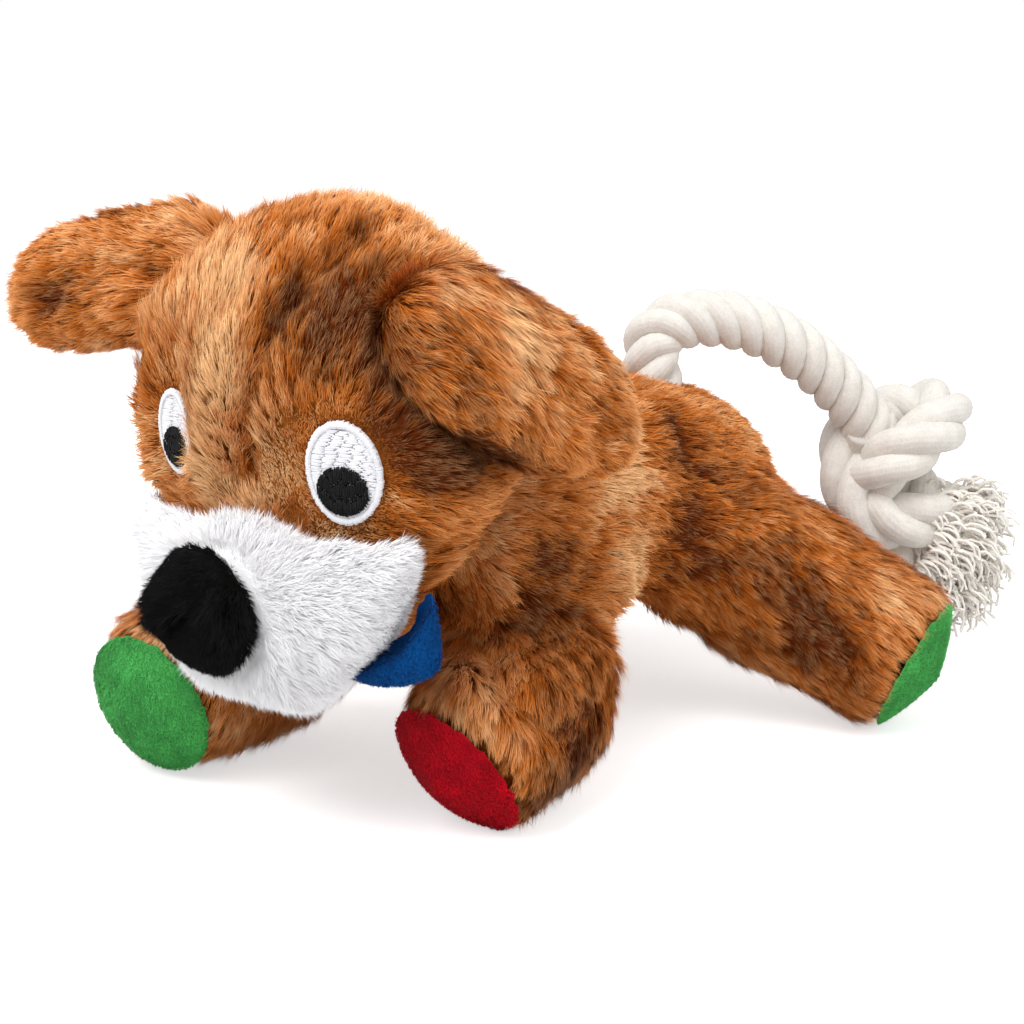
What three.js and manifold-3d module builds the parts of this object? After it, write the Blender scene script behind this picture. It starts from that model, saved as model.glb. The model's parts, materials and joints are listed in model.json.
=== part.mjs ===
// A plush dog with a rope tail: stuffed forms sewn to each other, embroidered eyes,
// velour pads and tongue, and a thick cotton rope that ends in a knot and a frayed tassel.
// Millimetres, +Z up. The dog faces -Y and its left side is +X.
// The origin is the middle of the toy, without its tail, on the ground.

import * as THREE from 'three';
import { mergeVertices } from 'three/addons/utils/BufferGeometryUtils.js';
import Module from 'manifold-3d';

const wasm = await Module();
wasm.setup();

const place = (x, y, z) => new THREE.Vector3(x, y, z);
const alongX = place(1, 0, 0);
const alongY = place(0, 1, 0);
const alongZ = place(0, 0, 1);

// Body
const bodyLength = 194;
const bodyWidth = 92;
const bodyHeight = 84;
const bodyFrontY = -74;
const backZ = 118;

// Head, and the neck that it nods on
const headHeight = 137;
const headWidth = 122;
const headDepth = 84;
const crownZ = 185;
const faceY = -125;
const neckY = -52;
const neckZ = 106;

// Muzzle, nose and tongue
const muzzleWidth = 112;
const muzzleHeight = 68;
const muzzleDepth = 56;
const muzzleFrontY = -140;
const muzzleBottomZ = 36;
const noseWidth = 44;
const noseHeight = 37;
const nosePile = 4;
const noseX = -6;
const noseZ = 73;
const tongueLength = 34;
const tongueWidth = 24;
const tongueThickness = 11;
const tongueX = 39;
const tongueY = -100;
const tongueTopZ = 84;

// Eyes
const eyeWidth = 23;
const eyeHeight = 29;
const eyeSpacing = 64;
const eyeBelowCrown = 71;
const eyeZ = crownZ - eyeBelowCrown;
const eyeRightLift = 4;
const eyeRightShare = 0.86;
const eyeStitch = 1.4;
const pupilWidth = 16;
const pupilHeight = 14;
const pupilDrop = 5;
const pupilStitch = 2;

// Ears, and how far their roots are in from the head's side, behind its face and below its crown.
// The left ear starts ahead of its hinge, and is shifted down along it.
const earLeftLength = 97;
const earRightLength = 91;
const earLeftWidth = 51;
const earRightWidth = 46;
const earThickness = 22;
const earLeftInset = 10;
const earLeftBack = 16;
const earLeftBelow = 22;
const earRightInset = 23;
const earRightBack = 39;
const earRightBelow = 25;
const earLeftLead = 6;
const earLeftShift = 7;
const earLeftDroop = 2;
const earRightDroop = 10;
const earLeftLie = place(0.14, 0.88, -0.43).normalize();
const earLeftLine = place(0.34, -0.44, -0.83).normalize();
const earRightLie = place(-0.99, -0.08, -0.06).normalize();
const earRightLine = place(-0.05, -0.35, -0.94).normalize();

// Legs, and where they leave the body
const frontLegWidth = 58;
const shoulderX = 34;
const shoulderY = -34;
const shoulderZ = 62;
const frontLeftReach = 52;
const frontLeftSplay = 9;
const frontLeftDrop = 38;
const frontRightReach = 76;
const frontRightSplay = 29;
const frontRightDrop = 34;
const hindLegWidth = 74;
const hipX = 32;
const hipY = 66;
const hipZ = 61;
const hindReach = 16;
const hindSplay = 78;
const hindDrop = 35;
const padWidth = 48;
const padThickness = 3;

// Rope, knot and tassel
const ropeDiameter = 20;
const knotLength = 60;
const knotWidth = 47;
const knotLie = place(0.2, 0.2, -0.95).normalize();
const tasselLength = 76;
const tasselWidth = 44;
const tasselLie = place(0.42, 0.36, -0.83).normalize();

// Fits and motions
const seamGap = 0.3;
const standDepth = 0.5;
const overrun = 20;
const nodAngle = 12;
const frontLegAngle = 22;
const hindLegAngle = 20;
const earLeftAngle = 30;
const earRightAngle = 20;

// Counts of faces
const formSides = 20;
const endRings = 4;
const middleRings = 5;
const ropeSides = 10;
const ropeSteps = 30;
const sweepSteps = 5;

function solidOf(geometry) {
  const bare = geometry.clone();
  bare.deleteAttribute('normal');
  bare.deleteAttribute('uv');
  const merged = mergeVertices(bare);
  const vertProperties = new Float32Array(merged.attributes.position.array);
  const triVerts = new Uint32Array(merged.index.array);
  return new wasm.Manifold(new wasm.Mesh({ numProp: 3, vertProperties, triVerts }));
}

function geometryOf(solid) {
  const mesh = solid.getMesh();
  const geometry = new THREE.BufferGeometry();
  geometry.setAttribute('position', new THREE.BufferAttribute(new Float32Array(mesh.vertProperties), 3));
  geometry.setIndex(new THREE.BufferAttribute(new Uint32Array(mesh.triVerts), 1));
  return geometry;
}

// A closed skin over rings of points, with a pole at both ends.
function skin(rings, firstPole, lastPole) {
  const sides = rings[0].length;
  const points = [firstPole, ...rings.flat(), lastPole];
  const last = points.length - 1;
  const index = [];
  for (let k = 0; k < sides; k += 1) {
    const next = (k + 1) % sides;
    index.push(0, 1 + next, 1 + k);
    for (let r = 0; r + 1 < rings.length; r += 1) {
      const a = 1 + r * sides;
      const b = a + sides;
      index.push(a + k, a + next, b + next, a + k, b + next, b + k);
    }
    index.push(last, last - sides + k, last - sides + next);
  }
  const geometry = new THREE.BufferGeometry().setFromPoints(points);
  geometry.setIndex(index);
  return geometry;
}

// A stuffed form that swells and tapers along a line of stations. Each station has its place `at`
// and its half sizes `wide` and `tall`. `roundShares` says over what share of the line each end is
// drawn in, `fullness` squares its section and `endFullness` its ends, and `grow` makes it that much
// larger all round.
function stuffed({ stations, side, roundShares, fullness = 2, endFullness = 2 }, grow = 0) {
  const line = new THREE.CatmullRomCurve3(stations.map((s) => s.at), false, 'centripetal');
  const girth = new THREE.CatmullRomCurve3(stations.map((s) => place(s.wide, s.tall, 0)));
  const section = (share) => {
    const tangent = line.getTangent(share);
    const u = side.clone().addScaledVector(tangent, -side.dot(tangent)).normalize();
    const v = tangent.clone().cross(u);
    return { at: line.getPoint(share), tangent, u, v, size: girth.getPoint(share) };
  };
  const square = (value, full) => Math.sign(value) * Math.abs(value) ** (2 / full);
  const loop = (share, neck) => {
    const { at, u, v, size } = section(share);
    return Array.from({ length: formSides }, (_, k) => {
      const angle = (2 * Math.PI * k) / formSides;
      return at.clone()
        .addScaledVector(u, (size.x * neck + grow) * square(Math.cos(angle), fullness))
        .addScaledVector(v, (size.y * neck + grow) * square(Math.sin(angle), fullness));
    });
  };
  const [first, last] = roundShares;
  const loops = [];
  for (let r = 1; r < endRings; r += 1) {
    const angle = (Math.PI * r) / (2 * endRings);
    const neck = square(Math.sin(angle), endFullness);
    const rest = square(Math.cos(angle), endFullness);
    loops.splice(r - 1, 0, loop(first * (1 - rest), neck));
    loops.splice(r, 0, loop(1 - last * (1 - rest), neck));
  }
  const middle = Array.from({ length: middleRings + 1 }, (_, k) => {
    const share = first + ((1 - first - last) * k) / middleRings;
    return loop(share, 1);
  });
  loops.splice(endRings - 1, 0, ...middle);
  const start = section(0);
  const end = section(1);
  start.at.addScaledVector(start.tangent, -grow);
  end.at.addScaledVector(end.tangent, grow);
  return skin(loops, start.at, end.at);
}

function turned(geometry, hinge, degrees) {
  const turn = new THREE.Matrix4().makeRotationAxis(hinge.axis, THREE.MathUtils.degToRad(degrees));
  const matrix = new THREE.Matrix4().makeTranslation(hinge.at)
    .multiply(turn)
    .multiply(new THREE.Matrix4().makeTranslation(hinge.at.clone().negate()));
  return geometry.clone().applyMatrix4(matrix);
}

// The space that a neighbour takes, seen from a piece that turns on the hinge from one angle to another.
function passed(neighbour, hinge) {
  let space = solidOf(turned(neighbour, hinge, -hinge.from));
  for (let step = 1; step <= sweepSteps; step += 1) {
    const degrees = hinge.from + ((hinge.to - hinge.from) * step) / sweepSteps;
    space = space.add(solidOf(turned(neighbour, hinge, -degrees)));
  }
  return space;
}

// Body: shares of its length from the chest, of its height below the back, of its half width and
// half height.
const bodyShares = [
  [0.00, 0.54, 0.72, 0.62],
  [0.12, 0.50, 0.92, 0.86],
  [0.32, 0.49, 1.00, 0.98],
  [0.55, 0.50, 0.92, 0.91],
  [0.78, 0.56, 1.00, 0.94],
  [0.92, 0.63, 0.96, 0.86],
  [1.00, 0.68, 0.84, 0.76],
];
const body = {
  side: alongX,
  roundShares: [0.16, 0.26],
  stations: bodyShares.map(([along, below, wide, tall]) => ({
    at: place(0, bodyFrontY + along * bodyLength, backZ - below * bodyHeight),
    wide: (wide * bodyWidth) / 2,
    tall: (tall * bodyHeight) / 2,
  })),
};

// Head: shares of its height below the crown, of its depth behind the face, of its half width and
// half depth.
const headShares = [
  [0.00, 0.58, 0.62, 0.62],
  [0.14, 0.52, 0.84, 0.80],
  [0.34, 0.49, 0.98, 0.98],
  [0.54, 0.42, 0.99, 0.84],
  [0.72, 0.31, 0.80, 0.56],
  [0.90, 0.26, 0.60, 0.42],
  [1.00, 0.24, 0.46, 0.34],
];
const head = {
  side: alongX,
  roundShares: [0.28, 0.16],
  fullness: 2.7,
  stations: headShares.map(([below, behind, wide, deep]) => ({
    at: place(0, faceY + behind * headDepth, crownZ - below * headHeight),
    wide: (wide * headWidth) / 2,
    tall: (deep * headDepth) / 2,
  })),
};

// Muzzle: shares of its width from the right end, of its depth behind its front, of its height
// above its lowest point, of its half depth and half height.
const muzzleShares = [
  [0.00, 0.50, 0.83, 0.24, 0.14],
  [0.12, 0.52, 0.74, 0.52, 0.46],
  [0.28, 0.52, 0.58, 0.80, 0.82],
  [0.50, 0.50, 0.49, 1.00, 0.98],
  [0.72, 0.52, 0.58, 0.80, 0.82],
  [0.88, 0.52, 0.74, 0.52, 0.46],
  [1.00, 0.50, 0.83, 0.24, 0.14],
];
const muzzle = {
  side: alongY,
  roundShares: [0.1, 0.1],
  fullness: 2.3,
  stations: muzzleShares.map(([along, behind, above, deep, tall]) => ({
    at: place(
      (along - 0.5) * muzzleWidth,
      muzzleFrontY + behind * muzzleDepth,
      muzzleBottomZ + above * muzzleHeight,
    ),
    wide: (deep * muzzleDepth) / 2,
    tall: (tall * muzzleHeight) / 2,
  })),
};

// Tongue: shares of its length below its root, of its half width and half thickness.
const tongueShares = [
  [0.00, 0.80, 0.80],
  [0.40, 0.96, 1.00],
  [0.75, 1.00, 1.00],
  [1.00, 0.74, 0.80],
];
const tongue = {
  side: alongX,
  roundShares: [0.2, 0.3],
  stations: tongueShares.map(([below, wide, thick]) => ({
    at: place(tongueX, tongueY, tongueTopZ - below * tongueLength),
    wide: (wide * tongueWidth) / 2,
    tall: (thick * tongueThickness) / 2,
  })),
};

// Legs: shares of the way out, forward and down from the root to the sole, and of the width.
const frontLeftShares = [
  [0.00, 0.00, 0.00, 1.02],
  [0.80, 0.24, 0.60, 1.03],
  [1.10, 0.62, 0.72, 1.00],
  [0.80, 1.00, 1.00, 0.90],
];
const frontRightShares = [
  [0.00, 0.00, 0.00, 1.00],
  [0.75, 0.26, 0.70, 1.04],
  [1.00, 0.62, 0.80, 1.04],
  [1.00, 1.00, 1.00, 0.92],
];
const hindLegShares = [
  [0.00, 0.00, 0.00, 1.00],
  [0.38, 0.35, 0.34, 0.88],
  [0.72, 0.72, 0.70, 0.78],
  [1.00, 1.00, 1.00, 0.80],
];

// A leg from its root by a way to its sole, lowered until it presses the ground by `standDepth`.
function legOf(root, way, shares, width, side) {
  const leg = {
    side,
    roundShares: [0.34, 0.18],
    endFullness: 2.4,
    stations: shares.map(([out, forward, down, wide]) => ({
      at: root.clone().add(place(out * way.x, forward * way.y, down * way.z)),
      wide: (wide * width) / 2,
      tall: (wide * width) / 2,
    })),
  };
  const form = stuffed(leg);
  form.computeBoundingBox();
  const drop = form.boundingBox.min.z + standDepth;
  leg.stations.forEach(({ at }) => at.setZ(at.z - drop));
  return leg;
}

const padRed = 0xb3122b;
const padGreen = 0x2fa24a;
const swing = (at, axis, to) => ({ at, axis, from: 0, to });
const shoulderLeft = place(shoulderX, shoulderY, shoulderZ);
const shoulderRight = place(-shoulderX, shoulderY, shoulderZ);
const hipLeft = place(hipX, hipY, hipZ);
const hipRight = place(-hipX, hipY, hipZ);
const legs = [
  {
    name: 'front_leg_left',
    form: legOf(
      shoulderLeft,
      place(frontLeftSplay, -frontLeftReach, -frontLeftDrop),
      frontLeftShares,
      frontLegWidth,
      alongX,
    ),
    hinge: swing(shoulderLeft, alongX, frontLegAngle),
    padColor: padRed,
  },
  {
    name: 'front_leg_right',
    form: legOf(
      shoulderRight,
      place(-frontRightSplay, -frontRightReach, -frontRightDrop),
      frontRightShares,
      frontLegWidth,
      alongX,
    ),
    hinge: swing(shoulderRight, alongX, frontLegAngle),
    padColor: padGreen,
  },
  {
    name: 'hind_leg_left',
    form: legOf(hipLeft, place(hindSplay, hindReach, -hindDrop), hindLegShares, hindLegWidth, alongY),
    hinge: swing(hipLeft, alongY, hindLegAngle),
    padColor: padGreen,
  },
  {
    name: 'hind_leg_right',
    form: legOf(hipRight, place(-hindSplay, hindReach, -hindDrop), hindLegShares, hindLegWidth, alongY),
    hinge: swing(hipRight, alongY.clone().negate(), hindLegAngle),
    padColor: padRed,
  },
];

// Ears: shares of the length, of the half width and half thickness.
const earShares = [
  [0.00, 0.88, 0.80],
  [0.22, 1.00, 1.00],
  [0.55, 0.98, 1.00],
  [0.82, 0.88, 0.92],
  [1.00, 0.66, 0.70],
];

// An ear that lies along a direction from its root, droops towards its tip and turns on its root line.
function earOf({ root, lie, rootLine, length, width, droop }) {
  return {
    side: rootLine,
    roundShares: [0.2, 0.25],
    stations: earShares.map(([along, wide, thick]) => ({
      at: root.clone()
        .addScaledVector(lie, along * length)
        .addScaledVector(alongZ, -along * along * droop),
      wide: (wide * width) / 2,
      tall: (thick * earThickness) / 2,
    })),
  };
}

const earLeftRoot = place(headWidth / 2 - earLeftInset, faceY + earLeftBack, crownZ - earLeftBelow);
const earRightRoot = place(earRightInset - headWidth / 2, faceY + earRightBack, crownZ - earRightBelow);
const earLeftStart = earLeftRoot.clone()
  .addScaledVector(earLeftLine, earLeftShift)
  .addScaledVector(earLeftLie, -earLeftLead);
const ears = [
  {
    name: 'ear_left',
    form: earOf({
      root: earLeftStart,
      lie: earLeftLie,
      rootLine: earLeftLine,
      length: earLeftLength,
      width: earLeftWidth,
      droop: earLeftDroop,
    }),
    hinge: { at: earLeftRoot, axis: earLeftLine, from: 0, to: earLeftAngle },
  },
  {
    name: 'ear_right',
    form: earOf({
      root: earRightRoot,
      lie: earRightLie,
      rootLine: earRightLine,
      length: earRightLength,
      width: earRightWidth,
      droop: earRightDroop,
    }),
    hinge: { at: earRightRoot, axis: earRightLine, from: -earRightAngle, to: earRightAngle },
  },
];

// Tail: the route of the rope from inside the back to the middle of the knot.
const ropeRoute = [
  place(0, 83, 100), place(0, 83, 108), place(-1, 83, 113.5), place(-1.5, 83.5, 119),
  place(0.5, 86, 124), place(4.5, 91, 127), place(9.5, 97, 128), place(15.5, 104, 127.5),
  place(22, 111.5, 125), place(28.5, 119, 120.5), place(35, 127, 114), place(41, 134.5, 106),
  place(46.5, 141.5, 97), place(51.5, 147.5, 87), place(56, 152, 76), place(58, 154, 69),
];

// Knot and tassel: shares of the length, and of the half width both ways.
const knotShares = [
  [-0.50, 0.74, 0.74],
  [-0.22, 1.00, 0.92],
  [0.10, 0.94, 1.00],
  [0.50, 0.70, 0.76],
];
const tasselShares = [
  [0.00, 0.60, 0.60],
  [0.35, 0.92, 0.92],
  [0.70, 1.00, 1.00],
  [1.00, 0.80, 0.80],
];

// A form that hangs straight from a point.
function hanging(from, lie, shares, length, width) {
  return {
    side: alongX,
    roundShares: [0.25, 0.22],
    stations: shares.map(([along, wide, deep]) => ({
      at: from.clone().addScaledVector(lie, along * length),
      wide: (wide * width) / 2,
      tall: (deep * width) / 2,
    })),
  };
}

// A bar of an oval section that passes through a point along a direction, to cut out a sewn patch.
function ovalBar(center, direction, width, height) {
  const bar = new THREE.CylinderGeometry(1, 1, 2 * overrun, 2 * formSides);
  bar.scale(width / 2, 1, height / 2);
  bar.applyQuaternion(new THREE.Quaternion().setFromUnitVectors(alongY, direction));
  bar.translate(center.x, center.y, center.z);
  return solidOf(bar);
}

// The layer over a form, between two heights, that lies inside a bar.
function patch(form, bar, thickness) {
  const outer = solidOf(stuffed(form, seamGap + thickness));
  return outer.intersect(bar).subtract(solidOf(stuffed(form, seamGap)));
}

const toy = new THREE.Group();

function add(name, solid, color, roughness) {
  const material = new THREE.MeshStandardMaterial({ color, roughness, metalness: 0 });
  const mesh = new THREE.Mesh(geometryOf(solid), material);
  mesh.name = name;
  toy.add(mesh);
}

const brown = 0xa86c33;
const white = 0xf2f2f0;
const black = 0x0c0c0e;
const blue = 0x0f4fa8;
const cotton = 0xe9e4dc;
const plushRoughness = 0.95;
const velourRoughness = 0.85;
const threadRoughness = 0.6;

const ground = new THREE.BoxGeometry(2 * bodyLength, 2 * bodyLength, overrun);
ground.translate(0, 0, -overrun / 2);
const groundSolid = solidOf(ground);
const bodyNeighbour = stuffed(body, seamGap);
const headNeighbour = stuffed(head, seamGap);
const headBack = solidOf(headNeighbour);

add('torso', solidOf(stuffed(body)), brown, plushRoughness);

const nod = { at: place(0, neckY, neckZ), axis: alongX.clone().negate(), from: 0, to: nodAngle };
add('head', solidOf(stuffed(head)).subtract(passed(bodyNeighbour, nod)), brown, plushRoughness);
add('muzzle', solidOf(stuffed(muzzle)).subtract(headBack), white, plushRoughness);

const noseBar = ovalBar(place(noseX, muzzleFrontY, noseZ), alongY, noseWidth, noseHeight);
add('nose', patch(muzzle, noseBar, nosePile), black, plushRoughness);

const muzzleNear = solidOf(stuffed(muzzle, seamGap));
const tongueSolid = solidOf(stuffed(tongue)).subtract(headBack).subtract(muzzleNear);
add('tongue', tongueSolid, blue, velourRoughness);

for (const [side, sign, lift, share] of [['left', 1, 0, 1], ['right', -1, eyeRightLift, eyeRightShare]]) {
  const eyeCenter = place((sign * eyeSpacing) / 2, faceY, eyeZ + lift);
  const pupilCenter = eyeCenter.clone().addScaledVector(alongZ, -share * pupilDrop);
  const wide = share * pupilWidth;
  const tall = share * pupilHeight;
  const pupilHole = ovalBar(pupilCenter, alongY, wide + 2 * seamGap, tall + 2 * seamGap);
  const eyeWhite = patch(head, ovalBar(eyeCenter, alongY, share * eyeWidth, share * eyeHeight), eyeStitch);
  add(`eye_white_${side}`, eyeWhite.subtract(pupilHole).subtract(muzzleNear), white, threadRoughness);
  const pupil = patch(head, ovalBar(pupilCenter, alongY, wide, tall), pupilStitch);
  add(`pupil_${side}`, pupil.subtract(muzzleNear), black, threadRoughness);
}

for (const ear of ears) {
  const seated = solidOf(stuffed(ear.form)).subtract(passed(headNeighbour, ear.hinge));
  add(ear.name, seated, brown, plushRoughness);
}

for (const leg of legs) {
  const { stations } = leg.form;
  const sole = stations.at(-1).at;
  const direction = sole.clone().sub(stations.at(-2).at).normalize();
  const whole = solidOf(stuffed(leg.form)).subtract(passed(bodyNeighbour, leg.hinge));
  add(leg.name, whole.subtract(groundSolid), brown, plushRoughness);
  const pad = patch(leg.form, ovalBar(sole, direction, padWidth, padWidth), padThickness);
  add(leg.name.replace('leg', 'pad'), pad.subtract(groundSolid), leg.padColor, velourRoughness);
}

const bodyCount = toy.children.length;
const knotMiddle = ropeRoute.at(-1);
const knot = hanging(knotMiddle, knotLie, knotShares, knotLength, knotWidth);
const tassel = hanging(knotMiddle, tasselLie, tasselShares, tasselLength, tasselWidth);
const ropeSection = new THREE.Shape(Array.from({ length: ropeSides }, (_, k) => {
  const angle = (2 * Math.PI * k) / ropeSides;
  return new THREE.Vector2(Math.cos(angle), Math.sin(angle)).multiplyScalar(ropeDiameter / 2);
}));
const ropeTube = new THREE.ExtrudeGeometry(ropeSection, {
  steps: ropeSteps,
  extrudePath: new THREE.CatmullRomCurve3(ropeRoute, false, 'centripetal'),
});
const knotNear = solidOf(stuffed(knot, seamGap));
const ropeSolid = solidOf(ropeTube).subtract(solidOf(bodyNeighbour)).subtract(knotNear);
add('tail_rope', ropeSolid, cotton, plushRoughness);
add('tail_knot', solidOf(stuffed(knot)), cotton, plushRoughness);
add('tail_tassel', solidOf(stuffed(tassel)).subtract(knotNear), cotton, plushRoughness);

const toyBox = new THREE.Box3();
for (const mesh of toy.children.slice(0, bodyCount)) {
  toyBox.expandByObject(mesh);
}
const middle = toyBox.getCenter(new THREE.Vector3());
toy.position.set(-middle.x, -middle.y, 0);

export default toy;
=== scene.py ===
"""Plush dog toy with a rope tail: long-pile skins, embroidered eyes, velour soles and a knotted rope."""

import json
import math
from functools import partial

import bmesh
import bpy
import numpy as np
from mathutils import Matrix, Vector
from mathutils.bvhtree import BVHTree


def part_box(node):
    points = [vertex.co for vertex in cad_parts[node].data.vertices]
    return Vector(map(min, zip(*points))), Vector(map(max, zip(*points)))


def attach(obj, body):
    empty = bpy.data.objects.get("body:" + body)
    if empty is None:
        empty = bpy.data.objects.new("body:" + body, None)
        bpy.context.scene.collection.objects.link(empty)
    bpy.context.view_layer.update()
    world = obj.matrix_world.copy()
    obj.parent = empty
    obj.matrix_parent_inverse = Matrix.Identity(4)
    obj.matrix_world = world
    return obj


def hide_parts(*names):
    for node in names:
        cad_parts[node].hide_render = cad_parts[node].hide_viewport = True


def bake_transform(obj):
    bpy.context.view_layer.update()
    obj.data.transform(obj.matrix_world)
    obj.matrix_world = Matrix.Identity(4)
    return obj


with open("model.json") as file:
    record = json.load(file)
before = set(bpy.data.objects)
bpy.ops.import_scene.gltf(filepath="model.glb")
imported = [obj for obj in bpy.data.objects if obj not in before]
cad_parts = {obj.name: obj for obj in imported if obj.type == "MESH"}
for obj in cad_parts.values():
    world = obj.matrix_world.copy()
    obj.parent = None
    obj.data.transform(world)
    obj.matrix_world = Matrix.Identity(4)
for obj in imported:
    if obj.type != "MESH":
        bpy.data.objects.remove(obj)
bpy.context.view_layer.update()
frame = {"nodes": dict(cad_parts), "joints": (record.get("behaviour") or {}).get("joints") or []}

bl_info = {
    "name": "Plush Dog",
    "version": (1, 0, 0),
    "blender": (4, 5, 0),
    "location": "View3D > Sidebar > Plush Dog",
    "description": "Dresses a plush dog with a rope tail in pile, velour, thread and cotton",
    "category": "Object",
}

MM = 0.001
LEGS = ("front_leg_left", "front_leg_right", "hind_leg_left", "hind_leg_right")
BODY = ("torso", *LEGS)
JOINTS = {joint["child"]: joint for joint in frame["joints"]}
# The rope's route is written about the middle of the belly, where the head's joint has this place.
HEAD_PIVOT = np.array([0.0, -52.0, 106.0])
SHIFT = np.array(JOINTS["head"]["pos_m"]) / MM - HEAD_PIVOT
# The spot ahead of the nose from which the head's pile runs back.
NOSE_SPOT = np.array([5.0, -150.0, 62.0])
# Millimetres beyond which it doesn't matter how far away a neighbour is.
FAR = 60.0
# Where the pile's share of its length is below this, no fibre grows.
LEAST_PILE = 0.12
# The steepness of the painted shade that darkens a fibre towards its root, for red, green and blue.
ROOT_SHADE_POWERS = (0.8, 1.25, 1.7)


class PlushDogPile(bpy.types.PropertyGroup):
    """Sizes and colours of the plush."""

    length: bpy.props.FloatProperty(
        name="Pile Length", description="Length of a brown fibre", default=0.0084, unit="LENGTH"
    )
    width: bpy.props.FloatProperty(
        name="Fibre Width", description="Width of a brown fibre at its widest", default=0.00027, unit="LENGTH"
    )
    clump: bpy.props.FloatProperty(
        name="Clump Size", description="Distance over which fibres lean alike", default=0.009, unit="LENGTH"
    )
    tuft: bpy.props.FloatProperty(
        name="Tuft Size",
        description="Width of a tuft, whose fibres meet at their tips",
        default=0.0036,
        unit="LENGTH",
    )
    strands: bpy.props.IntProperty(
        name="Strands", description="Most fibres in one layer of a piece", default=95000
    )
    seed: bpy.props.IntProperty(name="Seed", description="Seed of all that is random", default=7)
    white_length: bpy.props.FloatProperty(
        name="White Pile", description="Length of a fibre of the muzzle", default=0.0056, unit="LENGTH"
    )
    black_length: bpy.props.FloatProperty(
        name="Black Pile", description="Length of a fibre of the nose", default=0.0046, unit="LENGTH"
    )
    light: bpy.props.FloatVectorProperty(
        name="Light Brown", description="The pale fibres", default=(1.0, 0.64, 0.32), subtype="COLOR"
    )
    middle: bpy.props.FloatVectorProperty(
        name="Middle Brown", description="The common fibres", default=(0.69, 0.205, 0.027), subtype="COLOR"
    )
    dark: bpy.props.FloatVectorProperty(
        name="Dark Brown", description="The dark fibres", default=(0.13, 0.023, 0.002), subtype="COLOR"
    )


class PlushDogRope(bpy.types.PropertyGroup):
    """Sizes and colours of the rope tail."""

    diameter: bpy.props.FloatProperty(
        name="Diameter", description="Diameter of the laid rope", default=0.021, unit="LENGTH"
    )
    lay: bpy.props.FloatProperty(
        name="Lay", description="Length of one full turn of a strand", default=0.028, unit="LENGTH"
    )
    yarns: bpy.props.IntProperty(name="Yarns", description="Frayed yarns in the tassel", default=800)
    yarn_width: bpy.props.FloatProperty(
        name="Yarn Width", description="Thickness of a frayed yarn", default=0.0014, unit="LENGTH"
    )
    cotton: bpy.props.FloatVectorProperty(
        name="Cotton", description="Colour of the cotton", default=(0.84, 0.805, 0.75), subtype="COLOR"
    )


class PlushDogCloth(bpy.types.PropertyGroup):
    """Colours and sizes of the velour, and of the embroidery."""

    red: bpy.props.FloatVectorProperty(
        name="Red", description="Velour of the red soles", default=(0.52, 0.003, 0.014), subtype="COLOR"
    )
    green: bpy.props.FloatVectorProperty(
        name="Green", description="Velour of the green soles", default=(0.075, 0.44, 0.105), subtype="COLOR"
    )
    blue: bpy.props.FloatVectorProperty(
        name="Blue", description="Velour of the tongue", default=(0.002, 0.068, 0.27), subtype="COLOR"
    )
    nap: bpy.props.FloatProperty(
        name="Nap", description="Length of the velour's short fibres", default=0.0013, unit="LENGTH"
    )
    thread: bpy.props.FloatProperty(
        name="Thread", description="Thickness of the embroidery thread", default=0.00042, unit="LENGTH"
    )


class PlushDogStage(bpy.types.PropertyGroup):
    """The stage's light."""

    key: bpy.props.FloatProperty(
        name="Key", description="Power of the main lamp", default=14.0, unit="POWER"
    )
    fill: bpy.props.FloatProperty(
        name="Fill", description="Power of the side lamp", default=3.2, unit="POWER"
    )
    sky: bpy.props.FloatProperty(name="Sky", description="Strength of the light all round", default=0.56)
    floor: bpy.props.FloatVectorProperty(
        name="Floor", description="Colour of the floor", default=(0.90, 0.90, 0.90), subtype="COLOR"
    )
    glow: bpy.props.FloatProperty(
        name="Floor Glow", description="White added to the floor as it is seen", default=0.60
    )


# Node trees


def put(tree, kind, inputs=None, **settings):
    """Adds a node, sets it up and fills its inputs with values or with other nodes' outputs."""
    made = tree.nodes.new(kind)
    for key, value in settings.items():
        setattr(made, key, value)
    for key, value in (inputs or {}).items():
        socket = made.inputs[key]
        if isinstance(value, bpy.types.NodeSocket):
            tree.links.new(value, socket)
        else:
            socket.default_value = value
    return made


def group_of(name, kind, inputs, outputs):
    """An empty node group with named sockets, each given by its type or by its default number."""
    tree = bpy.data.node_groups.new(name, kind)
    for way, sockets in (("INPUT", inputs), ("OUTPUT", outputs)):
        for label, given in sockets.items():
            word = given if isinstance(given, str) else "Int" if isinstance(given, int) else "Float"
            socket = tree.interface.new_socket(name=label, in_out=way, socket_type=f"NodeSocket{word}")
            if not isinstance(given, str):
                socket.default_value = given
    return tree


def vector_math(tree, operation, first, second=None, scale=None):
    values = {0: first, 1: second, "Scale": scale}
    values = {key: value for key, value in values.items() if value is not None}
    return put(tree, "ShaderNodeVectorMath", values, operation=operation).outputs[0]


def math_of(tree, operation, first, second=0.0, clamp=False):
    node = put(tree, "ShaderNodeMath", {0: first, 1: second}, operation=operation, use_clamp=clamp)
    return node.outputs[0]


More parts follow.
